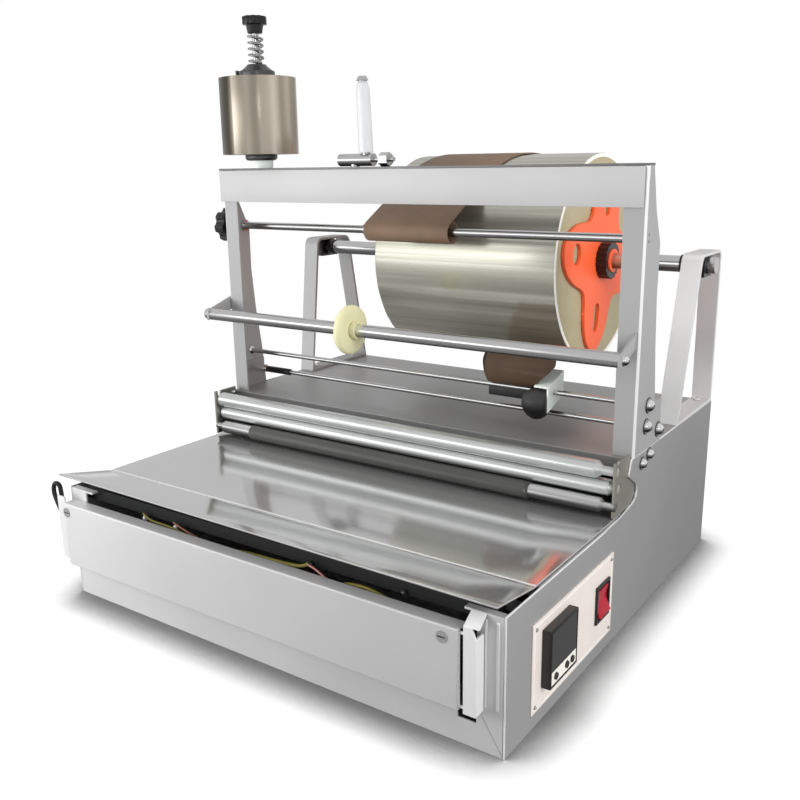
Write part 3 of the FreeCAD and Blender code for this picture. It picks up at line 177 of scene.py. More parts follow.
def plain(name, colour, rough, metal=0.0, vary=0.08, size=0.02, grain=0.0004, depth=0.12, coat=0.0, by=None):
    """Moulded or painted finish with a fine surface grain and a little colour drift."""
    mat, tree, skin = graph(name)
    skin.inputs["Metallic"].default_value = metal
    skin.inputs["Coat Weight"].default_value = coat
    cloud = noise(tree, placed(tree), size, 3.0)
    low = tuple(c * (1 - vary) for c in colour)
    high = tuple(min(1, c * (1 + vary * 0.6)) for c in colour)
    mixed = tint(tree, remap(tree, cloud.outputs["Fac"], 0.0, 1.0), low, high)
    # Painted light and shade, when the finish asks for it
    if by:
        mixed = shaded(tree, mixed, *by)
    tree.links.new(mixed, skin.inputs["Base Color"])
    fine = noise(tree, placed(tree), grain, 2.0)
    tree.links.new(remap(tree, fine.outputs["Fac"], rough - 0.04, rough + 0.06), skin.inputs["Roughness"])
    bump(tree, skin, fine.outputs["Fac"], depth, 0.0001)
    return mat


def wound(name, dark, light, rough, centre, along, size, metal=0.5, depth=0.3, detail=5.0, facing_shade=()):
    """Wound film: streaks along its axis, from noise over the angle round that axis."""
    mat, tree, skin = graph(name)
    skin.inputs["Metallic"].default_value = metal
    coords = placed(tree, shift=[-c for c in centre])
    split = add(tree, "ShaderNodeSeparateXYZ")
    wire(tree, coords, "Vector", split, "Vector")
    first, second, axis = ("Y", "Z", "X") if along == "X" else ("X", "Y", "Z")
    angle = add(tree, "ShaderNodeMath", operation="ARCTAN2")
    tree.links.new(split.outputs[first], angle.inputs[0])
    tree.links.new(split.outputs[second], angle.inputs[1])
    slow = add(tree, "ShaderNodeMath", operation="MULTIPLY")
    tree.links.new(split.outputs[axis], slow.inputs[0])
    slow.inputs[1].default_value = 0.10
    line = add(tree, "ShaderNodeCombineXYZ")
    tree.links.new(angle.outputs[0], line.inputs["X"])
    tree.links.new(slow.outputs[0], line.inputs["Y"])
    streaks = add(tree, "ShaderNodeTexNoise", Detail=detail, Roughness=0.62)
    streaks.inputs["Scale"].default_value = 1.0 / size
    wire(tree, line, "Vector", streaks, "Vector")
    colour = tint(tree, remap(tree, streaks.outputs["Fac"], 0.0, 1.0, 0.34, 0.66), dark, light)
    # Painted light and shade: the colour is scaled by the way the surface faces, darkest on faces turned to
    # the front and left.
    if facing_shade:
        across = add(tree, "ShaderNodeVectorMath", operation="DOT_PRODUCT")
        wire(tree, add(tree, "ShaderNodeNewGeometry"), "Normal", across, 0)
        across.inputs[1].default_value = (0.36, 0.347, 0.0)
        centred = add(tree, "ShaderNodeMath", operation="ADD")
        tree.links.new(across.outputs["Value"], centred.inputs[0])
        centred.inputs[1].default_value = 0.5
        ramp = add(tree, "ShaderNodeValToRGB")
        tree.links.new(centred.outputs[0], ramp.inputs[0])
        stops = ramp.color_ramp.elements
        while len(stops) < len(facing_shade):
            stops.new(0.5)
        for stop, (place, level) in zip(stops, facing_shade):
            stop.position = place
            stop.color = (level, level, level, 1)
        colour = scaled(tree, colour, ramp.outputs[0])
    tree.links.new(colour, skin.inputs["Base Color"])
    tree.links.new(remap(tree, streaks.outputs["Fac"], rough + 0.06, rough - 0.05), skin.inputs["Roughness"])
    bump(tree, skin, streaks.outputs["Fac"], depth, 0.0006)
    return mat


X_GRAIN = (0.02, 1, 1)
Y_GRAIN = (1, 0.02, 1)
Z_GRAIN = (1, 1, 0.02)
ROLL_AT = (0.0, 0.168, 0.3105)
REEL_AT = (-0.189, 0.010, 0.46)

FINISH = {
    # Painted light: the sheet is lighter at the left end and darker towards the right.
    "sheet": steel("sheet_steel_finish", 216, 0.52, X_GRAIN, 0.50, by=("place", "X", 1.2, 0.93, -0.24, 0.12)),
    "beam": steel("beam_steel_finish", 194, 0.50, X_GRAIN, 0.30),
    "strip": steel("strip_steel_finish", 232, 0.48, Z_GRAIN, 0.30),
    # Painted highlight: a pale, less metallic steel that draws bright lines on folds and edges, and brightens
    # small screws.
    "rim": steel("painted_highlight_finish", 228, 0.34, metal=0.25, depth=0.0),
    # Painted shade: the side panels darken towards the back.
    "panel": steel("panel_steel_finish", 184, 0.50, Y_GRAIN, 0.60,
                   by=("place", "Y", 1.0, 0.76, -0.2, 0.16)),
    "post": steel("post_steel_finish", 166, 0.48, Z_GRAIN, 0.30),
    "deck": steel("deck_steel_finish", 176, 0.40, X_GRAIN, 0.75),
    # Painted shade: the left bracket is darker than the right.
    "bracket": steel("bracket_steel_finish", 210, 0.38, Z_GRAIN, 0.20,
                     by=("place", "X", 0.55, 1.0, -0.1, 0.1)),
    "table": steel("table_steel_finish", 215, 0.115, X_GRAIN, 0.82, depth=0.004, spread=0.02, drift=0.02),
    # Painted highlight and shade: bright bars keep their colour on top and fall to a fifth of it on faces
    # turned down.
    "bright": steel("bright_bar_finish", 220, 0.22, X_GRAIN, 1.0, depth=0.0, spread=0.02,
                    by=("turn", "Z", 0.22, 1.0, -0.8, 0.25)),
    # Painted highlight and shade: bolt heads are light on top and nearly black on faces turned down.
    "bolt": steel("bolt_finish", 250, 0.10, metal=0.9, depth=0.0, spread=0.02,
                  by=("turn", "Z", 0.04, 1.0, -0.35, 0.3)),
    "roller": steel("roller_finish", 226, 0.30, X_GRAIN, 0.9, depth=0.0, tone=(0.98, 1.0, 0.99)),
    "chrome": steel("chrome_finish", 226, 0.07, metal=1.0, depth=0.0, spread=0.02),
    "edge": steel("edge_steel_finish", 132, 0.40, X_GRAIN, 0.8),
    "olive": steel("olive_steel_finish", 166, 0.34, X_GRAIN, 0.85, tone=(1.0, 0.98, 0.84)),
    "screw": steel("flat_screw_finish", 158, 0.45, metal=0.3, depth=0.0),
    "dark_steel": steel("dark_steel_finish", 96, 0.34, X_GRAIN, 0.9),
    # Painted highlight and shade: the lower roller is light on top and dark on faces turned down.
    "gunmetal": steel("gunmetal_finish", 222, 0.24, X_GRAIN, 0.9, depth=0.0,
                      by=("turn", "Z", 0.12, 1.0, -0.2, 0.75)),
    "pit": plain("dark_inside_finish", srgb(19, 20, 20), 0.6),
    "black": plain("black_plastic_finish", srgb(22, 21, 22), 0.28),
    # Painted shade: rubber parts go nearly black on faces turned down.
    "rubber": plain("dark_rubber_finish", srgb(56, 55, 56), 0.42, depth=0.3,
                    by=("turn", "Z", 0.08, 1.0, -0.4, 0.5)),
    "grip": plain("roller_grip_finish", srgb(68, 68, 65), 0.34, depth=0.2),
    "orange": plain("orange_plastic_finish", srgb(255, 104, 58), 0.42, vary=0.04),
    "strap": plain("strap_finish", srgb(121, 99, 81), 0.55, vary=0.10, size=0.03, grain=0.0009, depth=0.4),
    # Painted shade: a darker strap finish for the low part, nearly black left of x 80.3 mm.
    "strap_in_shade": plain("painted_shade_strap_finish", srgb(80, 61, 46), 0.6, vary=0.12, size=0.02, grain=0.0009,
                       depth=0.4, by=("place", "X", 0.15, 1.0, 0.0803, 0.0818)),
    "nylon": plain("cream_nylon_finish", srgb(222, 218, 176), 0.42, vary=0.04),
    "white": plain("white_nylon_finish", srgb(212, 213, 214), 0.20, coat=0.5, vary=0.03),
    "film": wound("film_finish", srgb(168, 167, 152), srgb(212, 211, 200), 0.22, ROLL_AT, "X", 0.09, 0.75,
                  0.12),
    "film_end": plain("film_end_finish", srgb(176, 166, 134), 0.5, vary=0.06),
    # The reel's tape carries painted light and shade by the way it faces.
    "tape": wound("tape_finish", srgb(134, 124, 106), srgb(222, 211, 196), 0.26, REEL_AT, "Z", 0.55, 0.62,
                  0.1, 1.2, facing_shade=((0.0, 0.14), (0.11, 0.22), (0.16, 0.86), (0.27, 0.90), (0.32, 0.80),
                                   (0.56, 0.86), (0.63, 1.0), (0.76, 1.0), (0.81, 0.97), (1.0, 0.92))),
    "card": plain("card_finish", srgb(150, 128, 96), 0.8, vary=0.15, grain=0.0012, depth=0.5),
    "clip": plain("clip_paint_finish", srgb(236, 243, 238), 0.45, vary=0.04),
    "plate": plain("beige_plate_finish", srgb(228, 218, 211), 0.42, vary=0.03),
    # The plate line's pale finish, also used for the painted highlight ring on the film's end.
    "line": plain("plate_line_and_film_highlight_finish", srgb(246, 244, 238), 0.5, vary=0.02),
    "keys": plain("key_strip_finish", srgb(238, 234, 224), 0.45, vary=0.03),
    "red": plain("red_plastic_finish", srgb(172, 20, 44), 0.30, vary=0.04),
    "screen": plain("screen_finish", srgb(44, 43, 44), 0.3, vary=0.18, size=0.0016),
    "wire_olive": plain("wire_olive_finish", srgb(112, 104, 44), 0.5),
    "wire_brown": plain("wire_brown_finish", srgb(112, 74, 54), 0.5),
    "wire_pink": plain("wire_pink_finish", srgb(168, 118, 110), 0.5),
    "spring": steel("spring_finish", 176, 0.2, metal=1.0),
}

NODE_FINISH = {
    "sheet": ["base_plates"],
    "deck": ["inner_brackets"],
    "pit": ["heater_plate", "inner_blocks", "roller_well"],
    "black": ["button_set", "button_down", "button_up", "power_inlet"],
    "card": ["roll_core", "reel_core"],
    "bright": ["knob_rod", "roll_shaft", "tie_rods", "beam_pins"],
    "screen": ["controller_window"],
    "keys": ["controller_strip"],
}
for finish, names in NODE_FINISH.items():
    for name in names:
        mesh = CAD[name].data
        mesh.materials.clear()
        mesh.materials.append(FINISH[finish])


# Making pieces

def piece(name, mesh, finish, node, stands_for=True):
    """A piece that rides as a node of the part does, and may stand for it."""
    obj = bpy.data.objects.new(name, mesh)
    bpy.context.scene.collection.objects.link(obj)
    if finish:
        mesh.materials.clear()
        mesh.materials.append(FINISH[finish])
    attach(obj, BODY[node])
    if stands_for:
        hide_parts(node)
    return obj


def repaint(obj, finish, chosen):
    """A second finish for the faces that pass a test."""
    obj.data.materials.append(FINISH[finish])
    for face in obj.data.polygons:
        if chosen(face):
            face.material_index = 1


def smooth(mesh, degrees=30):
    mesh.shade_smooth()
    mesh.set_sharp_from_angle(angle=math.radians(degrees))


def from_bm(name, bm):
    bmesh.ops.recalc_face_normals(bm, faces=bm.faces)
    mesh = bpy.data.meshes.new(name)
    bm.to_mesh(mesh)
    bm.free()
    return mesh


def baked(obj):
    """The mesh of an object with its modifiers made plain."""
    bpy.context.view_layer.update()
    graph_now = bpy.context.evaluated_depsgraph_get()
    mesh = bpy.data.meshes.new_from_object(obj.evaluated_get(graph_now))
    obj.modifiers.clear()
    return mesh


# Faces over this area, in square metres, are shaded flat
WIDE_FACE = 2e-4


def crisp(node, finish, width=0.4, segments=2, name=None, chosen=None, fold_r=2.0):
    """A copy of a node with its facets merged and its edges eased."""
    bm = bmesh.new()
    bm.from_mesh(CAD[node].data)
    bmesh.ops.remove_doubles(bm, verts=bm.verts, dist=1e-5)
    bmesh.ops.dissolve_limit(bm, angle_limit=math.radians(0.6), verts=bm.verts, edges=bm.edges)
    if chosen:
        weight = bm.edges.layers.float.new("bevel_weight_edge")
        for e in bm.edges:
            a, b = (v.co / MM for v in e.verts)
            e[weight] = chosen(a, b)
    mesh = from_bm(node + "_eased", bm)
    obj = bpy.data.objects.new(name or node + "_skin", mesh)
    bpy.context.scene.collection.objects.link(obj)
    if chosen:
        fold = obj.modifiers.new("fold", "BEVEL")
        fold.limit_method = "WEIGHT"
        fold.width = fold_r * MM
        fold.segments = 5
        fold.use_clamp_overlap = False
        obj.data = baked(obj)
    ease = obj.modifiers.new("ease", "BEVEL")
    ease.limit_method = "ANGLE"
    ease.angle_limit = math.radians(32)
    ease.width = width * MM
    ease.segments = segments
    ease.use_clamp_overlap = False
    obj.data = baked(obj)
    smooth(obj.data, 26)
    for face in obj.data.polygons:
        if face.area > WIDE_FACE:
            face.use_smooth = False
    obj.data.materials.clear()
    obj.data.materials.append(FINISH[finish])
    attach(obj, BODY[node])
    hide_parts(node)
    return obj


AXES = {"X": (Vector((1, 0, 0)), Vector((0, 1, 0)), Vector((0, 0, 1))),
        "Z": (Vector((0, 0, 1)), Vector((1, 0, 0)), Vector((0, 1, 0)))}


def rounded(points, radius):
    """The profile with its inner corners rounded off, by three points each."""
    out = [points[0]]
    for before, corner, after in zip(points, points[1:], points[2:]):
        c = Vector(corner)
        a = Vector(before) - c
        b = Vector(after) - c
        r = min(radius, a.length / 2.1, b.length / 2.1)
        p = c + a.normalized() * r
        q = c + b.normalized() * r
        out += [tuple(p), tuple((p + q + c * 2) / 4), tuple(q)]
    return out + [points[-1]]


def turned(name, at, profile, axis="X", steps=72, wave=None, closed=False, radius=0.5, basis=None):
    """A turned mesh: profile holds distances along the axis and radii, all in mm."""
    along, u, v = basis or AXES[axis]
    rows = rounded(profile, radius) if radius else profile
    bm = bmesh.new()
    rings = []
    for s, r in rows:
        centre = Vector(at) + along * s
        if r < 1e-4:
            rings.append([bm.verts.new(centre * MM)])
            continue
        ring = []
        for i in range(steps):
            a = 2 * math.pi * i / steps
            rr = r + (wave(a, r) if wave else 0.0)
            ring.append(bm.verts.new((centre + u * rr * math.cos(a) + v * rr * math.sin(a)) * MM))
        rings.append(ring)
    pairs = list(zip(rings, rings[1:]))
    if closed:
        pairs.append((rings[-1], rings[0]))
    for low, high in pairs:
        for i in range(steps):
            j = (i + 1) % steps
            if len(low) == 1:
                bm.faces.new((low[0], high[i], high[j]))
            elif len(high) == 1:
                bm.faces.new((low[i], low[j], high[0]))
            else:
                bm.faces.new((low[i], low[j], high[j], high[i]))
    mesh = from_bm(name, bm)
    smooth(mesh)
    return mesh


def ring_profile(x0, x1, inner, outer):
    """A closed profile for a tube, started in the middle of its bore."""
    mid = (x0 + x1) / 2
    return [(mid, inner), (x0, inner), (x0, outer), (x1, outer), (x1, inner), (mid + 0.01, inner)]


def tube(name, line, radius, steps=10, cuts=8):
    """A round cord along a smooth line of points in mm."""
    bm = bmesh.new()
    pts = [Vector(p) for p in line]
    dense = []
    for i in range(len(pts) - 1):
        p0 = pts[max(i - 1, 0)]
        p1 = pts[i]
        p2 = pts[i + 1]
        p3 = pts[min(i + 2, len(pts) - 1)]
        for k in range(cuts):
            t = k / cuts
            dense.append(0.5 * (2 * p1 + (p2 - p0) * t + (2 * p0 - 5 * p1 + 4 * p2 - p3) * t * t
                                + (3 * p1 - p0 - 3 * p2 + p3) * t ** 3))
    dense.append(pts[-1])
    side = Vector((0, 1, 0))
    rings = []
    for i, p in enumerate(dense):
        d = (dense[min(i + 1, len(dense) - 1)] - dense[max(i - 1, 0)]).normalized()
        side = (side - d * side.dot(d)).normalized()
        other = d.cross(side)
        rings.append([bm.verts.new((p + side * radius * math.cos(a) + other * radius * math.sin(a)) * MM)
                      for a in (2 * math.pi * k / steps for k in range(steps))])
    for low, high in zip(rings, rings[1:]):
        for i in range(steps):
            j = (i + 1) % steps
            bm.faces.new((low[i], low[j], high[j], high[i]))
    bm.faces.new(list(reversed(rings[0])))
    bm.faces.new(rings[-1])
    mesh = from_bm(name, bm)
    smooth(mesh, 50)
    return mesh


# Geometry Nodes for what repeats

def grown(name, points, build, finish, node, values=(), attributes=(), stands_for=True):
    """A plain mesh from a Geometry Nodes tree over a set of points."""
    mesh = bpy.data.meshes.new(name + "_points")
    mesh.from_pydata([[c * MM for c in p] for p in points], [], [])
    for key, kind, data in attributes:
        layer = mesh.attributes.new(key, kind, "POINT")
        field = "vector" if kind == "FLOAT_VECTOR" else "value"
        layer.data.foreach_set(field, data)
    tree = bpy.data.node_groups.new(name + "_tree", "GeometryNodeTree")
    tree.interface.new_socket("Geometry", in_out="INPUT", socket_type="NodeSocketGeometry")
    sockets = []
    for key, value in values:
        sockets.append((tree.interface.new_socket(key, in_out="INPUT", socket_type="NodeSocketFloat"), value))
    tree.interface.new_socket("Geometry", in_out="OUTPUT", socket_type="NodeSocketGeometry")
    start = tree.nodes.new("NodeGroupInput")
    end = tree.nodes.new("NodeGroupOutput")
    shape = build(tree, start)
    real = tree.nodes.new("GeometryNodeRealizeInstances")
    paint = tree.nodes.new("GeometryNodeSetMaterial")
    paint.inputs["Material"].default_value = FINISH[finish]
    tree.links.new(shape, real.inputs[0])
    tree.links.new(real.outputs[0], paint.inputs["Geometry"])
    tree.links.new(paint.outputs[0], end.inputs[0])
    obj = bpy.data.objects.new(name, mesh)
    bpy.context.scene.collection.objects.link(obj)
    grow = obj.modifiers.new("grow", "NODES")
    grow.node_group = tree
    for socket, value in sockets:
        grow[socket.identifier] = value
    obj.data = baked(obj)
    smooth(obj.data, 40)
    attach(obj, BODY[node])
    if stands_for:
        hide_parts(node)
    return obj


# Sheet metal

def fold_edges(a, b):
    """Full weight for the upright outer front edge of a post."""
    upright = abs(a.x - b.x) < 0.1 and abs(a.y - b.y) < 0.1
    outer = abs(abs(a.x) - 240.0) < 0.2 and abs(a.y) < 0.2
    return 1.0 if upright and outer else 0.0


def panel_edges(a, b):
    """The front edge of a side panel is a full fold, its upper rim a softer one."""
    if abs(abs(a.x) - 240.0) > 0.2 or abs(abs(b.x) - 240.0) > 0.2 or a.x * b.x < 0:
        return 0.0
    if abs(a.y + 230.0) < 0.2 and abs(b.y + 230.0) < 0.2:
        return 0.95
    low = a.z < 1.0 and b.z < 1.0
    back = a.y > 229.0 and b.y > 229.0
    hole = abs(a.z - b.z) < 40.0 and abs(a.y - b.y) < 40.0 and max(a.z, b.z) < 95.0
    return 0.0 if low or back or hole else 0.45


posts = crisp("posts", "post", 0.35, chosen=fold_edges, fold_r=3.0)
# Painted highlight: the rounded outer fold of each post takes the pale highlight finish.
repaint(posts, "rim", lambda f: (0.2 < abs(f.normal.x) < 0.97 and f.normal.y < -0.2
                                 and abs(f.center.x) > 0.2365 and f.center.y < 0.0032))
panels = crisp("side_panels", "panel", 0.35, chosen=panel_edges)
# Painted highlight: the side panels' edge faces take the pale highlight finish.
repaint(panels, "rim", lambda f: abs(f.normal.x) < 0.8 and f.normal.z > -0.5 and f.center.y < 0.2285)
frame_skin = crisp("front_frame", "sheet", 0.5)
# Painted highlight: faces standing proud of the front frame take the pale highlight finish.
repaint(frame_skin, "rim", lambda f: f.center.y < -0.2302)
crisp("fascia", "sheet", 1.3, 3)
crisp("fascia_brackets", "strip", 0.5)
crisp("deck_plate", "deck", 0.4)
crisp("rear_brackets", "bracket", 0.5)
crisp("roller_plates", "olive", 0.3)
crisp("strap_clip", "clip", 0.35)
crisp("control_plate", "plate", 0.3)
crisp("controller_case", "black", 0.9, 2)
crisp("rocker_frame", "black", 0.4)
crisp("rocker_key", "red", 0.5)
crisp("star_knob", "black", 0.8)
crisp("tension_knob", "black", 0.9, 3)
crisp("flange_left", "orange", 0.5)
crisp("flange_right", "orange", 0.5)
crisp("ring_nut_left", "black", 0.4)
crisp("ring_nut_right", "black", 0.4)
crisp("bearing_blocks", "black", 0.5)

# Beam: a bright front face, and a top flange in darker steel that paints a shade line along the beam's top
# edge
BEAM_TOP = 408.0
BEAM_X0 = -242.0
BEAM_X1 = 237.0
BEAM_LOW = 373.0


def block(bm, x0, x1, y0, y1, z0, z1):
    made = bmesh.ops.create_cube(bm, size=1.0)
    for v in made["verts"]:
        v.co = Vector(((x0 + x1) / 2 + v.co.x * (x1 - x0), (y0 + y1) / 2 + v.co.y * (y1 - y0),
                       (z0 + z1) / 2 + v.co.z * (z1 - z0))) * MM


def eased_boxes(name, boxes, finish, node, width=0.4, stands_for=True):
    bm = bmesh.new()
    for b in boxes:
        block(bm, *b)
    obj = piece(name, from_bm(name, bm), finish, node, stands_for)
    ease = obj.modifiers.new("ease", "BEVEL")
    ease.width = width * MM
    ease.segments = 2
    ease.use_clamp_overlap = False
    obj.data = baked(obj)
    smooth(obj.data, 26)
    return obj


eased_boxes("beam_face", [(BEAM_X0, BEAM_X1, -2, 0, BEAM_LOW, BEAM_TOP - 2.2)], "beam", "top_beam")
# Painted shade: the flange's darker steel draws the shade line at the top edge.
eased_boxes("beam_flange", [(BEAM_X0, BEAM_X1, -2, 22, BEAM_TOP - 2.1, BEAM_TOP)], "edge", "top_beam", 0.3)

# Work table: flat, then curving up to a lip that stands a little higher at the left
TABLE_TOP = 115.0
TABLE_HALF = 237.5
TABLE_BACK = -14.0
BEND_Y = -181.0
LIP_Y = -240.0


def table_top(y, side):
    """Height of the table's upper face, side from 0 at the left to 1 at the right."""
    if y > BEND_Y:
        return TABLE_TOP - 0.5 * (y - BEND_Y) / (TABLE_BACK - BEND_Y)
    t = (BEND_Y - y) / (BEND_Y - LIP_Y)
    bend = min(1.0, t / 0.12)
    slope = 9.0 + 4.5 * (1 - side)
    return TABLE_TOP + slope * (t - 0.06) * bend + slope * 0.06 * bend * (1 - side) * t


bm = bmesh.new()
ys = [TABLE_BACK + (BEND_Y - TABLE_BACK) * k / 6 for k in range(7)]
ys += [BEND_Y + (LIP_Y - BEND_Y) * k / 25 for k in (0.5, 1, 2, 3, 4, 7, 11, 15, 20, 25)]
columns = 12
grid = []
for layer in (0, 1):
    rows = []
    for y in ys:
        row = []
        for i in range(columns + 1):
            side = i / columns
            x = -TABLE_HALF + 2 * TABLE_HALF * side
            far = 2.5 * (1 - side) * max(0.0, (BEND_Y - y) / (BEND_Y - LIP_Y))
            row.append(bm.verts.new(Vector((x, y - far, table_top(y, side) - 1.5 * layer)) * MM))
        rows.append(row)
    grid.append(rows)
top, low = grid
for j in range(len(ys) - 1):
    for i in range(columns):
        bm.faces.new((top[j][i], top[j][i + 1], top[j + 1][i + 1], top[j + 1][i]))
        bm.faces.new((low[j][i], low[j + 1][i], low[j + 1][i + 1], low[j][i + 1]))
for i in range(columns):
    bm.faces.new((top[0][i], low[0][i], low[0][i + 1], top[0][i + 1]))
    bm.faces.new((top[-1][i + 1], low[-1][i + 1], low[-1][i], top[-1][i]))
for j in range(len(ys) - 1):
    bm.faces.new((top[j][0], top[j + 1][0], low[j + 1][0], low[j][0]))
    bm.faces.new((top[j + 1][columns], top[j][columns], low[j][columns], low[j + 1][columns]))
table = piece("table_sheet", from_bm("table_sheet", bm), "table", "work_table")
ease = table.modifiers.new("ease", "BEVEL")
ease.limit_method = "ANGLE"
ease.angle_limit = math.radians(40)
ease.width = 0.5 * MM
ease.segments = 3
table.data = baked(table)
# Painted highlight: a pale line along the start of the bend to the lip.
repaint(table, "rim", lambda f: abs(f.center.y * 1000 - BEND_Y + 1.2) < 1.0 and f.normal.z > 0.5)
smooth(table.data, 40)

# Round bars
JOURNAL = 4.0


def roller(name, at, r, x0, x1, taper, finish, node):
    ends = 237.7
    profile = [(-ends, 0), (-ends, JOURNAL), (x0 - taper, JOURNAL), (x0, r), (x1, r), (x1 + taper, JOURNAL),
               (ends, JOURNAL), (ends, 0)]
    return piece(name, turned(name, (0, *at), profile, steps=64, radius=0.6), finish, node)


roller("top_roller_skin", (-30.0, 155.4), 7.8, -230.2, 219.2, 5.0, "roller", "roller_top")
roller("nip_roller_skin", (-27.0, 139.8), 7.4, -230.2, 230.2, 5.0, "roller", "roller_nip")
LOWER_AT = (0, -33.0, 124.6)
roller("lower_roller_skin", LOWER_AT[1:], 7.0, -225.2, 225.2, 3.0, "gunmetal", "roller_lower")
grip = turned("grip_sleeve", LOWER_AT, ring_profile(-183.0, 158.0, 7.02, 8.0), steps=64, closed=True,
              radius=0.3)
piece("grip_sleeve", grip, "grip", "roller_grip")
grip_end = turned("grip_collar", LOWER_AT, ring_profile(154.6, 157.2, 7.9, 8.35), steps=64, closed=True,
                  radius=0.2)
piece("grip_collar", grip_end, "dark_steel", "roller_grip", stands_for=False)

TUBE_AT = (0, -27.0, 251.5)
tube_profile = [(-249, 0), (-249, 6.5), (234, 6.5), (234, 5.0), (233, 5.0), (233, 0)]
bar = turned("guide_bar", TUBE_AT, tube_profile, steps=64, radius=3.0)
piece("guide_bar", bar, "bright", "guide_tube")
TUBE_ARMS = (((-34, 245.5), (-34, 255.5), (0, 270.5), (0, 256.5), 234.0, 237.0),
             ((-34, 245.5), (-34, 256.5), (22, 273.5), (22, 257.5), -243.0, -240.0))
bm = bmesh.new()
for *corners, x0, x1 in TUBE_ARMS:
    left = [bm.verts.new(Vector((x0, y, z)) * MM) for y, z in corners]
    right = [bm.verts.new(Vector((x1, y, z)) * MM) for y, z in corners]
    bm.faces.new(left)
    bm.faces.new(list(reversed(right)))
    for i in range(4):
        j = (i + 1) % 4
        bm.faces.new((left[i], right[i], right[j], left[j]))
arms = piece("tube_arms", from_bm("tube_arms", bm), "post", "guide_tube")
ease = arms.modifiers.new("ease", "BEVEL")
ease.width = 0.4 * MM
ease.segments = 2
arms.data = baked(arms)
smooth(arms.data, 26)

wheel_profile = [(-46.5, 7.82), (-51, 7.82), (-51, 20.5), (-49.6, 24.0), (-46.5, 25), (-43.4, 24.0),
                 (-42, 20.5), (-42, 7.82), (-46.49, 7.82)]
wheel = turned("wheel_disc", TUBE_AT, wheel_profile, steps=72, closed=True, radius=2.2)
piece("wheel_disc", wheel, "nylon", "guide_wheel")
crisp("wheel_bush", "nylon", 0.4)
SHAFT_AT = (0, 168.0, 310.5)
for side in (-1, 1):
    name = "shaft_collar_" + ("right" if side > 0 else "left")
    x0, x1 = sorted((side * 229.7, side * 217.7))
    collar = turned(name, SHAFT_AT, ring_profile(x0, x1, 8.0, 9.2), closed=True, radius=0.3)
    piece(name, collar, "black", "shaft_collars")

# Film roll, slightly uneven round its axis as wound film is


def wobble(waves, bore):
    """Small waves round the axis, on everything wider than the bore."""
    return lambda a, r: sum(h * math.sin(n * a + p) for n, h, p in waves) if r > bore else 0.0


ROLL_WAVES = ((5, 0.10, 0.4), (13, 0.12, 1.9), (23, 0.10, 4.1), (37, 0.07, 0.7), (61, 0.03, 2.6))
REEL_WAVES = ((5, 0.16, 0.2), (9, 0.10, 2.2), (14, 0.05, 1.1))
film = turned("film_winding", SHAFT_AT, ring_profile(-79.0, 131.0, 39.0, 107.4), steps=360, closed=True,
              wave=wobble(ROLL_WAVES, 60), radius=0.8)
film.materials.append(FINISH["film"])
roll = piece("film_winding", film, None, "film_roll")
repaint(roll, "film_end", lambda f: abs(f.normal.x) > 0.8)
# A thin white ring on the end edge of the film: a painted highlight.
rim_profile = [(131.0, 103.6), (131.35, 103.6), (131.35, 107.2), (131.0, 107.2)]
rim = turned("film_rim", SHAFT_AT, rim_profile, steps=180, closed=True, radius=0)
piece("film_rim", rim, "line", "film_roll", stands_for=False)

SPINDLE_AT = (-189.0, 10.0, 0.0)
tape = turned("tape_winding", SPINDLE_AT, ring_profile(422.0, 499.0, 19.0, 40.0), axis="Z", steps=240,
              closed=True, wave=wobble(REEL_WAVES, 30), radius=0.6)
piece("tape_winding", tape, "tape", "tape_reel")

# Spindle base, cups and wing screw
SPINDLE_SHAPES = (
    ("spindle_foot", "clip", "spindle_base",
     [(415.99, 3.5), (408.0, 3.5), (408.0, 11.6), (411.0, 12.2), (416.0, 12.4), (416.0, 3.5)]),
    ("lower_cup", "dark_steel", "reel_cups",
     [(419, 3.5), (416.0, 3.5), (416.0, 15.0), (418.0, 17.0), (421.7, 17.0), (421.7, 3.5), (419.01, 3.5)]),
    ("upper_cup", "dark_steel", "reel_cups",
     [(505, 3.5), (499.4, 3.5), (499.4, 18.5), (505.4, 18.5), (507.0, 15.5), (510.5, 11.0), (512.4, 9.5),
      (512.4, 3.5), (505.01, 3.5)]),
)
for name, finish, node, profile in SPINDLE_SHAPES:
    piece(name, turned(name, SPINDLE_AT, profile, axis="Z", steps=48, closed=True), finish, node)
screw = [(-8.0, 0), (-8.0, 2.0), (0.4, 2.0), (0.4, 0)]
shank = turned("wing_shank", (-207.0, 10.0, 504.4), screw, steps=24)
piece("wing_shank", shank, "dark_steel", "reel_cups")
eased_boxes("wing_blade", [(-216.0, -214.0, 5.5, 14.5, 501.4, 507.9)], "dark_steel", "reel_cups", 0.5)


def coil(tree, start):
    spiral = add(tree, "GeometryNodeCurveSpiral", Resolution=36)
    spiral.inputs["Rotations"].default_value = 4.6
    spiral.inputs["Start Radius"].default_value = 7.2 * MM
    spiral.inputs["End Radius"].default_value = 7.2 * MM
    spiral.inputs["Height"].default_value = 27.4 * MM
    wire_ring = add(tree, "GeometryNodeCurvePrimitiveCircle", Resolution=14)
    tree.links.new(start.outputs["Wire radius"], wire_ring.inputs["Radius"])
    sweep = add(tree, "GeometryNodeCurveToMesh")
    sweep.inputs["Fill Caps"].default_value = True
    tree.links.new(spiral.outputs[0], sweep.inputs["Curve"])
    tree.links.new(wire_ring.outputs[0], sweep.inputs["Profile Curve"])
    move = add(tree, "GeometryNodeTransform")
    move.inputs["Translation"].default_value = (-0.189, 0.010, 0.5136)
    tree.links.new(sweep.outputs[0], move.inputs["Geometry"])
    return move.outputs[0]


spring = grown("spring_coil", [(0, 0, 0)], coil, "spring", "spindle_spring",
               values=(("Wire radius", 1.25 * MM),))
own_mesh(spring)

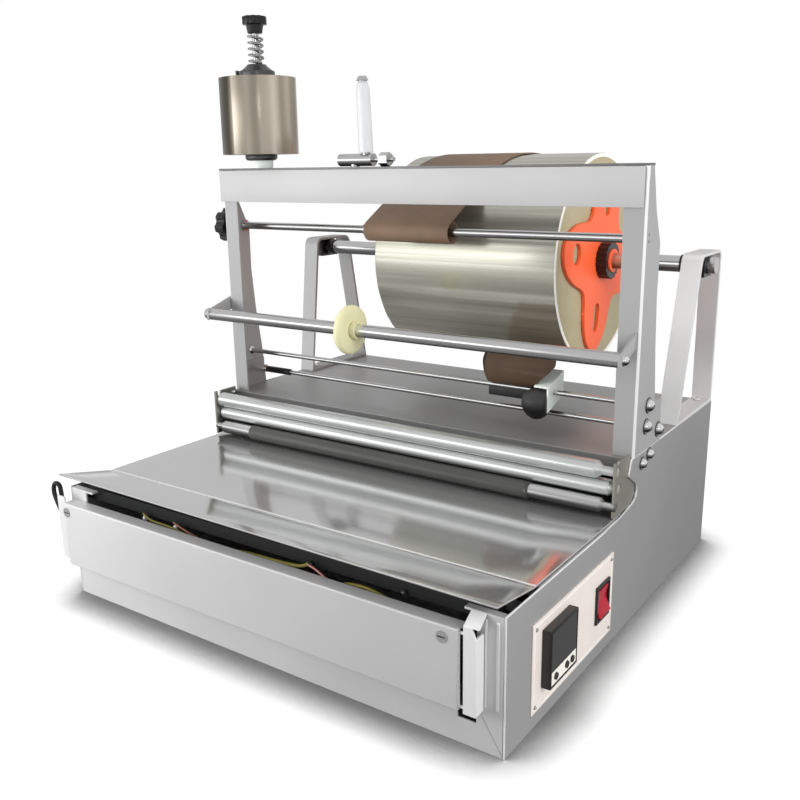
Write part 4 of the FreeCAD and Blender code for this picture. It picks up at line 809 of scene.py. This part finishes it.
# Guide pin: its sleeve is a lathe shape on the leaning pin
lean = math.radians(2.0)
pin_axis = Vector((-math.sin(lean), 0, math.cos(lean)))
pin_basis = (pin_axis, Vector((0, 1, 0)), pin_axis.cross(Vector((0, 1, 0))))
PIN_AT = (-47.0, 7.0, 414.6)
skin = [(40, 4.1), (6.5, 4.1), (6.5, 6.9), (8.0, 7.2), (58.0, 6.7), (66.0, 6.3), (71.0, 5.2), (72.5, 4.1),
        (40.01, 4.1)]
sleeve = turned("sleeve_tube", PIN_AT, skin, steps=48, closed=True, basis=pin_basis)
piece("sleeve_tube", sleeve, "white", "pin_sleeve")

# Screw heads and washers, from trees that set one shape on each point


def spread(tree, start, shape):
    """The shape on each point, turned and sized by the point's own attributes."""
    put = add(tree, "GeometryNodeInstanceOnPoints")
    turn = add(tree, "GeometryNodeInputNamedAttribute", data_type="FLOAT_VECTOR")
    turn.inputs["Name"].default_value = "turn"
    size = add(tree, "GeometryNodeInputNamedAttribute", data_type="FLOAT")
    size.inputs["Name"].default_value = "size"
    spin = add(tree, "FunctionNodeEulerToRotation")
    grow = add(tree, "ShaderNodeMath", operation="MULTIPLY")
    tree.links.new(shape, put.inputs["Instance"])
    tree.links.new(start.outputs["Geometry"], put.inputs["Points"])
    tree.links.new(turn.outputs["Attribute"], spin.inputs[0])
    tree.links.new(spin.outputs[0], put.inputs["Rotation"])
    tree.links.new(size.outputs["Attribute"], grow.inputs[0])
    tree.links.new(start.outputs["Head scale"], grow.inputs[1])
    tree.links.new(grow.outputs[0], put.inputs["Scale"])
    return put.outputs[0]


def heads(tree, start):
    """A washer under a low dome with a six-sided socket."""
    washer = add(tree, "GeometryNodeMeshCylinder", Vertices=28, Radius=1.0, Depth=0.34)
    dome = add(tree, "GeometryNodeMeshUVSphere", Segments=28, Rings=14, Radius=0.84)
    squat = add(tree, "GeometryNodeTransform")
    squat.inputs["Scale"].default_value = (1, 1, 0.90)
    squat.inputs["Translation"].default_value = (0, 0, 0.10)
    socket = add(tree, "GeometryNodeMeshCylinder", Vertices=6, Radius=0.24, Depth=0.5)
    sunk = add(tree, "GeometryNodeTransform")
    sunk.inputs["Translation"].default_value = (0, 0, 0.72)
    carve = add(tree, "GeometryNodeMeshBoolean", operation="DIFFERENCE")
    both = add(tree, "GeometryNodeJoinGeometry")
    tree.links.new(dome.outputs["Mesh"], squat.inputs["Geometry"])
    tree.links.new(socket.outputs["Mesh"], sunk.inputs["Geometry"])
    tree.links.new(squat.outputs[0], carve.inputs["Mesh 1"])
    tree.links.new(sunk.outputs[0], carve.inputs["Mesh 2"])
    tree.links.new(washer.outputs["Mesh"], both.inputs[0])
    tree.links.new(carve.outputs["Mesh"], both.inputs[0])
    return spread(tree, start, both.outputs[0])


def washers(tree, start):
    ring = add(tree, "GeometryNodeMeshCylinder", Vertices=28, Radius=1.0, Depth=0.16)
    return spread(tree, start, ring.outputs["Mesh"])


QUARTER = math.pi / 2
FACING = {"+X": (0, QUARTER, 0), "-X": (0, -QUARTER, 0), "-Y": (QUARTER, 0, 0), "+Z": (0, 0, 0)}


def screw_set(name, rows, finish, node, stands_for=True, build=heads, scale=1.0):
    """Rows hold a place in mm, a radius in mm and the way the head faces."""
    turns = [c for row in rows for c in FACING[row[2]]]
    sizes = [row[1] * MM for row in rows]
    return grown(name, [row[0] for row in rows], build, finish, node, values=(("Head scale", scale),),
                 attributes=(("turn", "FLOAT_VECTOR", turns), ("size", "FLOAT", sizes)),
                 stands_for=stands_for)


POST_SCREWS = ((25.5, 182.6, 6.2), (58.0, 172.0, 6.2), (38.0, 153.7, 5.2), (21.0, 149.5, 5.2),
               (29.0, 201.0, 6.2))
bolts = [((240.2, y, z), r * 1.05, "+X") for y, z, r in POST_SCREWS]
bolts += [((-240.2, y, z), r * 1.05, "-X") for y, z, r in POST_SCREWS if y < 50]
bolts += [((237.2, -27.0, 251.5), 5.0, "+X"), ((-243.2, 14.0, 263.5), 4.0, "-X")]
for side in (1, -1):
    facing = "-X" if side > 0 else "+X"
    bolts += [((side * 235.4, y, z), 2.8, facing) for y, z in ((-8.0, 158.0), (0.0, 141.0), (2.0, 126.0))]
    bolts += [((side * 230.0, y, 163.1), 4.0, "+Z") for y in (132.0, 212.0)]
screw_set("frame_bolts", bolts, "bolt", "frame_fasteners")
screw_set("bolt_washers", bolts[:9], "dark_steel", "frame_fasteners", False, washers, 1.12)
LOW_ROD_AT = (0, 42.0, 177.0)
nut_profile = [(-236.0, 0), (-236.0, 5.0), (-230.0, 5.0), (-230.0, 0)]
piece("sleeve_nut", turned("sleeve_nut", LOW_ROD_AT, nut_profile, steps=6, radius=0), "chrome",
      "frame_fasteners")
COVER_SCREWS = (-229.0, 196.0)
screw_set("cover_screws", [((x, -244.3, 91.0), 4.6, "-Y") for x in COVER_SCREWS], "screw", "panel_screws",
          build=washers)
eased_boxes("screw_slots", [(x - 3.2, x + 3.2, -244.9, -244.6, 90.5, 91.5) for x in COVER_SCREWS],
            "dark_steel", "panel_screws", 0.05, stands_for=False)
# Painted highlight: the terminal screws take the pale highlight finish.
screw_set("terminal_screws", [((x, -224.5, 98.5), 2.5, "-Y") for x in (-138.0, -97.0)], "rim", "panel_screws")
screw_set("far_terminals", [((x, -223.6, 103.0), 2.4, "-Y") for x in (60.0, 150.0)], "dark_steel",
          "panel_screws")
screw_set("plate_screws", [((241.3, y, z), 1.7, "+X") for y in (-187.0, -45.0) for z in (19.0, 83.0)],
          "screw", "panel_screws")

# Leads in the gap under the lip
LEADS = (
    ("lead_a", "wire_olive", 1.1, [(-138, -226, 104), (-126, -227, 100), (-100, -227, 99), (-70, -228, 96),
                                   (-40, -227, 93), (-20, -215, 84)]),
    ("lead_b", "wire_brown", 1.0, [(-97, -226, 104), (-80, -228, 101), (-60, -227, 96), (-30, -226, 92),
                                   (0, -212, 84)]),
    ("lead_c", "wire_olive", 1.5, [(-30, -222, 92), (-5, -226, 97), (25, -228, 99), (48, -227, 100),
                                   (58, -227, 103), (60, -226, 105)]),
    ("lead_d", "wire_pink", 0.9, [(60, -227, 104), (70, -229, 103), (82, -229, 97), (90, -226, 90),
                                  (96, -212, 82)]),
    ("lead_e", "wire_olive", 1.3, [(88, -222, 90), (100, -227, 98), (120, -228, 100), (138, -227, 96),
                                   (146, -222, 88), (150, -210, 82)]),
    ("lead_f", "red", 1.6, [(160, -224, 93), (168, -228, 95), (176, -227, 93), (182, -216, 86)]),
)
for name, finish, r, line in LEADS:
    piece(name, tube(name, line, r), finish, "heater_leads")

LOOP_LINE = [(-244, -238.5, 84), (-250, -237.9, 92), (-256, -237.5, 104), (-255, -236.5, 113),
             (-249, -235.5, 112), (-247, -235.5, 100), (-244, -236.1, 82), (-238, -236.5, 74)]
piece("cord_loop", tube("cord_loop", LOOP_LINE, 2.2, 14), "black", "side_loop")

# Brake strap: a loop on the turning rod, round the roll, and down to the clip
STRAP_T = 1.3
KNOB_AT = (28.0, 345.0)
LOOP_IN = 9.4
WRAP_IN = 107.95
strap_rows = []


def strap_row(y, z, ny, nz, x0, x1):
    strap_rows.append(((y, z), (ny, nz), x0, x1))


gap_y = 168.0 - KNOB_AT[0]
gap_z = 310.5 - KNOB_AT[1]
lead_in = math.atan2(gap_z, gap_y) + math.asin((WRAP_IN - LOOP_IN) / math.hypot(gap_y, gap_z)) + QUARTER
reach = math.hypot(30.0 - 168.0, 238.0 - 310.5)
leave = math.atan2(238.0 - 310.5, 30.0 - 168.0) + math.acos(WRAP_IN / reach)
for k in range(33):
    a = lead_in + math.radians(330 - 330 * k / 32)
    strap_row(KNOB_AT[0] + LOOP_IN * math.cos(a), KNOB_AT[1] + LOOP_IN * math.sin(a), math.cos(a),
              math.sin(a), -61.0, 39.0)
WRAP_STEPS = 84
for k in range(WRAP_STEPS + 1):
    t = k / WRAP_STEPS
    a = lead_in + (leave - lead_in) * t
    strap_row(168.0 + WRAP_IN * math.cos(a), 310.5 + WRAP_IN * math.sin(a), math.cos(a), math.sin(a),
              -61.0 + 110.0 * t, 39.0 + 90.75 * t)
CURL = [(30.0, 238.0, 76.0, 152.0), (24.0, 233.5, 78.0, 153.0), (19.5, 226.5, 78.0, 153.0),
        (18.0, 216.0, 80.0, 143.0), (19.5, 207.0, 83.0, 135.0), (26.0, 203.2, 83.5, 133.0),
        (33.5, 202.4, 83.5, 133.0)]
fine_curl = []
for i in range(len(CURL) - 1):
    p0, p1, p2, p3 = (Vector(CURL[min(max(j, 0), len(CURL) - 1)]) for j in (i - 1, i, i + 1, i + 2))
    for k in range(4):
        t = k / 4
        fine_curl.append(0.5 * (2 * p1 + (p2 - p0) * t + (2 * p0 - 5 * p1 + 4 * p2 - p3) * t * t
                                + (3 * p1 - p0 - 3 * p2 + p3) * t ** 3))
fine_curl.append(Vector(CURL[-1]))
for i, (y, z, x0, x1) in enumerate(fine_curl):
    before = fine_curl[max(i - 1, 0)]
    after = fine_curl[min(i + 1, len(fine_curl) - 1)]
    n = Vector((before[1] - after[1], after[0] - before[0])).normalized()
    if i == 0:
        n = Vector((math.cos(leave), math.sin(leave)))
    strap_row(y, z, n.x, n.y, x0, x1)
bm = bmesh.new()
rings = []
for (y, z), (ny, nz), x0, x1 in strap_rows:
    ring = []
    for x, t in ((x0, 0.3), (x0 + 0.35, 0), (x1 - 0.35, 0), (x1, 0.3), (x1, STRAP_T - 0.3),
                 (x1 - 0.35, STRAP_T), (x0 + 0.35, STRAP_T), (x0, STRAP_T - 0.3)):
        ring.append(bm.verts.new(Vector((x, y + ny * t, z + nz * t)) * MM))
    rings.append(ring)
for a, b in zip(rings, rings[1:]):
    for i in range(8):
        j = (i + 1) % 8
        bm.faces.new((a[i], a[j], b[j], b[i]))
bm.faces.new(rings[0])
bm.faces.new(list(reversed(rings[-1])))
strap_mesh = from_bm("strap_band", bm)
smooth(strap_mesh, 50)
strap = piece("strap_band", strap_mesh, "strap", "brake_strap")
# The low part of the strap takes the painted shade finish.
repaint(strap, "strap_in_shade", lambda f: f.center.z < 0.2385 and f.center.y < 0.06)

# Rubber end under the clip, the bar beside it and the rod sleeve
PAD = [(123.0, 0), (123.0, 6.5), (125.5, 10.0), (130.0, 12.6), (136.5, 14.0), (143.0, 12.8), (147.0, 10.5),
       (148.5, 8.5), (148.5, 0)]
pad = turned("clip_pad", (0, 20.0, 191.5), PAD, radius=2.0,
             wave=lambda a, r: max(0.0, r - 9.0) * 0.5 * max(0.0, math.cos(a + math.pi * 0.55)) ** 4)
piece("clip_pad", pad, "rubber", "rod_rubbers")
eased_boxes("clip_bar", [(80.0, 124.0, 28.0, 40.0, 190.0, 201.5)], "rubber", "rod_rubbers", 0.8)
left_sleeve = turned("rod_sleeve", LOW_ROD_AT, ring_profile(-227.0, -191.0, 2.5, 3.7), steps=32,
                     closed=True, radius=0.2)
piece("rod_sleeve", left_sleeve, "black", "rod_rubbers")

# Seam of the mitred right corner on the front frame
MITRE = ((217.5, 34.5), (238.0, 1.5), (237.4, 2.0), (216.9, 35.0))
bm = bmesh.new()
front = [bm.verts.new(Vector((x, -230.12, z)) * MM) for x, z in MITRE]
rear = [bm.verts.new(Vector((x, -229.9, z)) * MM) for x, z in MITRE]
bm.faces.new(front)
bm.faces.new(list(reversed(rear)))
for i in range(4):
    j = (i + 1) % 4
    bm.faces.new((front[j], front[i], rear[i], rear[j]))
piece("corner_seams", from_bm("corner_seams", bm), "edge", "front_frame", stands_for=False)

# A thin raised line round the control plate
LINE_W = 0.7
lines = []
for y0, y1, z0, z1 in ((-189.4, -42.6, 85.0, 85.0 + LINE_W), (-189.4, -42.6, 16.3, 16.3 + LINE_W),
                       (-189.4, -189.4 + LINE_W, 16.3, 85.7), (-43.3, -42.6, 16.3, 85.7)):
    lines.append((241.1, 241.35, y0, y1, z0, z1))
eased_boxes("plate_line", lines, "line", "control_plate", 0.08, stands_for=False)


# Floor, light and camera

def floor_material():
    """White to the camera, with the part's soft shadow near it, partly lit and partly painted by an emission
    that ambient occlusion dims, and plain white far off.
    """
    mat = bpy.data.materials.new("studio_floor_finish")
    mat.use_nodes = True
    tree = mat.node_tree
    tree.nodes.clear()
    out = add(tree, "ShaderNodeOutputMaterial")
    seen = add(tree, "ShaderNodeLightPath")
    real = add(tree, "ShaderNodeEmission")
    real.inputs["Color"].default_value = (1, 1, 1, 1)
    half = add(tree, "ShaderNodeBsdfDiffuse")
    half.inputs["Color"].default_value = (0.2, 0.2, 0.2, 1)
    # Painted contact shadow: an emission that ambient occlusion dims near the part.
    hidden = add(tree, "ShaderNodeAmbientOcclusion", samples=6)
    hidden.inputs["Distance"].default_value = SHADE_REACH
    lift = add(tree, "ShaderNodeEmission")
    lift.inputs["Color"].default_value = (1, 1, 1, 1)
    tree.links.new(remap(tree, hidden.outputs["AO"], 0.0, FLOOR_LIFT, 0.60, 0.93), lift.inputs["Strength"])
    lit_and_painted = add(tree, "ShaderNodeAddShader")
    white = add(tree, "ShaderNodeEmission")
    white.inputs["Color"].default_value = (1, 1, 1, 1)
    coords = placed(tree)
    far = add(tree, "ShaderNodeVectorMath", operation="LENGTH")
    tree.links.new(coords.outputs["Vector"], far.inputs[0])
    fade = remap(tree, far.outputs["Value"], 0.0, 1.0, 0.42, 0.95)
    # To other rays the floor is a glow, dimmer near the part: painted light and shade in what reflects it.
    glow = remap(tree, far.outputs["Value"], FLOOR_GLOW, 0.8, 0.6, 1.7)
    tree.links.new(glow, real.inputs["Strength"])
    near = add(tree, "ShaderNodeMixShader")
    pick = add(tree, "ShaderNodeMixShader")
    tree.links.new(half.outputs[0], lit_and_painted.inputs[0])
    tree.links.new(lift.outputs[0], lit_and_painted.inputs[1])
    tree.links.new(fade, near.inputs[0])
    tree.links.new(lit_and_painted.outputs[0], near.inputs[1])
    tree.links.new(white.outputs[0], near.inputs[2])
    tree.links.new(seen.outputs["Is Camera Ray"], pick.inputs[0])
    tree.links.new(real.outputs[0], pick.inputs[1])
    tree.links.new(near.outputs[0], pick.inputs[2])
    tree.links.new(pick.outputs[0], out.inputs["Surface"])
    return mat


FLOOR_LIFT = 0.92
FLOOR_GLOW = 0.34
SHADE_REACH = 0.047
FLOOR_HALF = 6.0
floor_mesh = bpy.data.meshes.new("studio_floor")
floor_mesh.from_pydata([(-FLOOR_HALF, -FLOOR_HALF, 0), (FLOOR_HALF, -FLOOR_HALF, 0),
                        (FLOOR_HALF, FLOOR_HALF, 0), (-FLOOR_HALF, FLOOR_HALF, 0)], [], [(0, 1, 2, 3)])
floor = bpy.data.objects.new("studio_floor", floor_mesh)
bpy.context.scene.collection.objects.link(floor)
floor_mesh.materials.append(floor_material())

world = bpy.data.worlds.new("studio")
bpy.context.scene.world = world
world.use_nodes = True
sky = world.node_tree
sky.nodes.clear()
sky_out = add(sky, "ShaderNodeOutputWorld")
sky_seen = add(sky, "ShaderNodeLightPath")


def background(strength):
    node = add(sky, "ShaderNodeBackground")
    node.inputs["Color"].default_value = (1, 1, 1, 1)
    node.inputs["Strength"].default_value = strength
    return node


SKY_FILL = 0.36
SKY_GLOSS = 0.62
shiny = add(sky, "ShaderNodeMixShader")
sky.links.new(sky_seen.outputs["Is Glossy Ray"], shiny.inputs[0])
sky.links.new(background(SKY_FILL).outputs[0], shiny.inputs[1])
sky.links.new(background(SKY_GLOSS).outputs[0], shiny.inputs[2])
sky_pick = add(sky, "ShaderNodeMixShader")
sky.links.new(sky_seen.outputs["Is Camera Ray"], sky_pick.inputs[0])
sky.links.new(shiny.outputs[0], sky_pick.inputs[1])
sky.links.new(background(1.0).outputs[0], sky_pick.inputs[2])
sky.links.new(sky_pick.outputs[0], sky_out.inputs["Surface"])


def softbox(name, place, target, width, height, power, mirrored=True):
    lamp = bpy.data.lights.new(name, "AREA")
    lamp.shape = "RECTANGLE"
    lamp.size = width
    lamp.size_y = height
    lamp.energy = power
    obj = bpy.data.objects.new(name, lamp)
    obj.location = place
    aim = Vector(target) - Vector(place)
    obj.rotation_mode = "QUATERNION"
    obj.rotation_quaternion = aim.to_track_quat("-Z", "Y")
    obj.visible_camera = False
    obj.visible_glossy = mirrored
    bpy.context.scene.collection.objects.link(obj)
    return obj


softbox("front_left_softbox", (-1.45, -1.2, 0.75), (-0.1, -0.1, 0.18), 0.9, 0.9, 18, False)
softbox("horizon_card", (-1.55, -2.1, 0.5), (0, 0, 0.5), 2.6, 0.8, 11)
softbox("right_softbox", (1.6, -0.42, 0.75), (0.2, 0.0, 0.2), 1.0, 1.0, 24, False)
softbox("left_low_softbox", (-1.0, -1.0, 0.18), (-0.25, -0.24, 0.05), 0.6, 0.4, 8.0, False)
softbox("top_softbox", (-0.2, 0.0, 2.1), (0, 0, 0.2), 1.6, 0.9, 10, False)
softbox("camera_side_fill", (1.3, -1.5, 0.75), (0, 0, 0.2), 0.2, 0.2, 1.1)

CAMERA_AZ = 34.935
CAMERA_EL = 14.853
CAMERA_ROLL = -0.9093
CAMERA_AT = (0.49465, -0.71760, 0.41057)
FOCAL_PX = 891.737
az = math.radians(CAMERA_AZ)
el = math.radians(CAMERA_EL)
roll_angle = math.radians(CAMERA_ROLL)
ahead = Vector((-math.sin(az) * math.cos(el), math.cos(az) * math.cos(el), -math.sin(el)))
across = Vector((math.cos(az), math.sin(az), 0))
down = ahead.cross(across)
image_x = math.cos(roll_angle) * across - math.sin(roll_angle) * down
image_y = math.sin(roll_angle) * across + math.cos(roll_angle) * down
camera_data = bpy.data.cameras.new("photo_camera")
camera_data.sensor_width = 36.0
camera_data.lens = FOCAL_PX / 800.0 * 36.0
camera_data.clip_start = 0.02
camera_data.clip_end = 30.0
camera = bpy.data.objects.new("photo_camera", camera_data)
turn = Matrix((image_x, -image_y, -ahead)).transposed().to_4x4()
camera.matrix_world = Matrix.Translation(CAMERA_AT) @ turn
bpy.context.scene.collection.objects.link(camera)
bpy.context.scene.camera = camera

bpy.context.scene.view_settings.view_transform = "Standard"

bpy.context.view_layer.update()
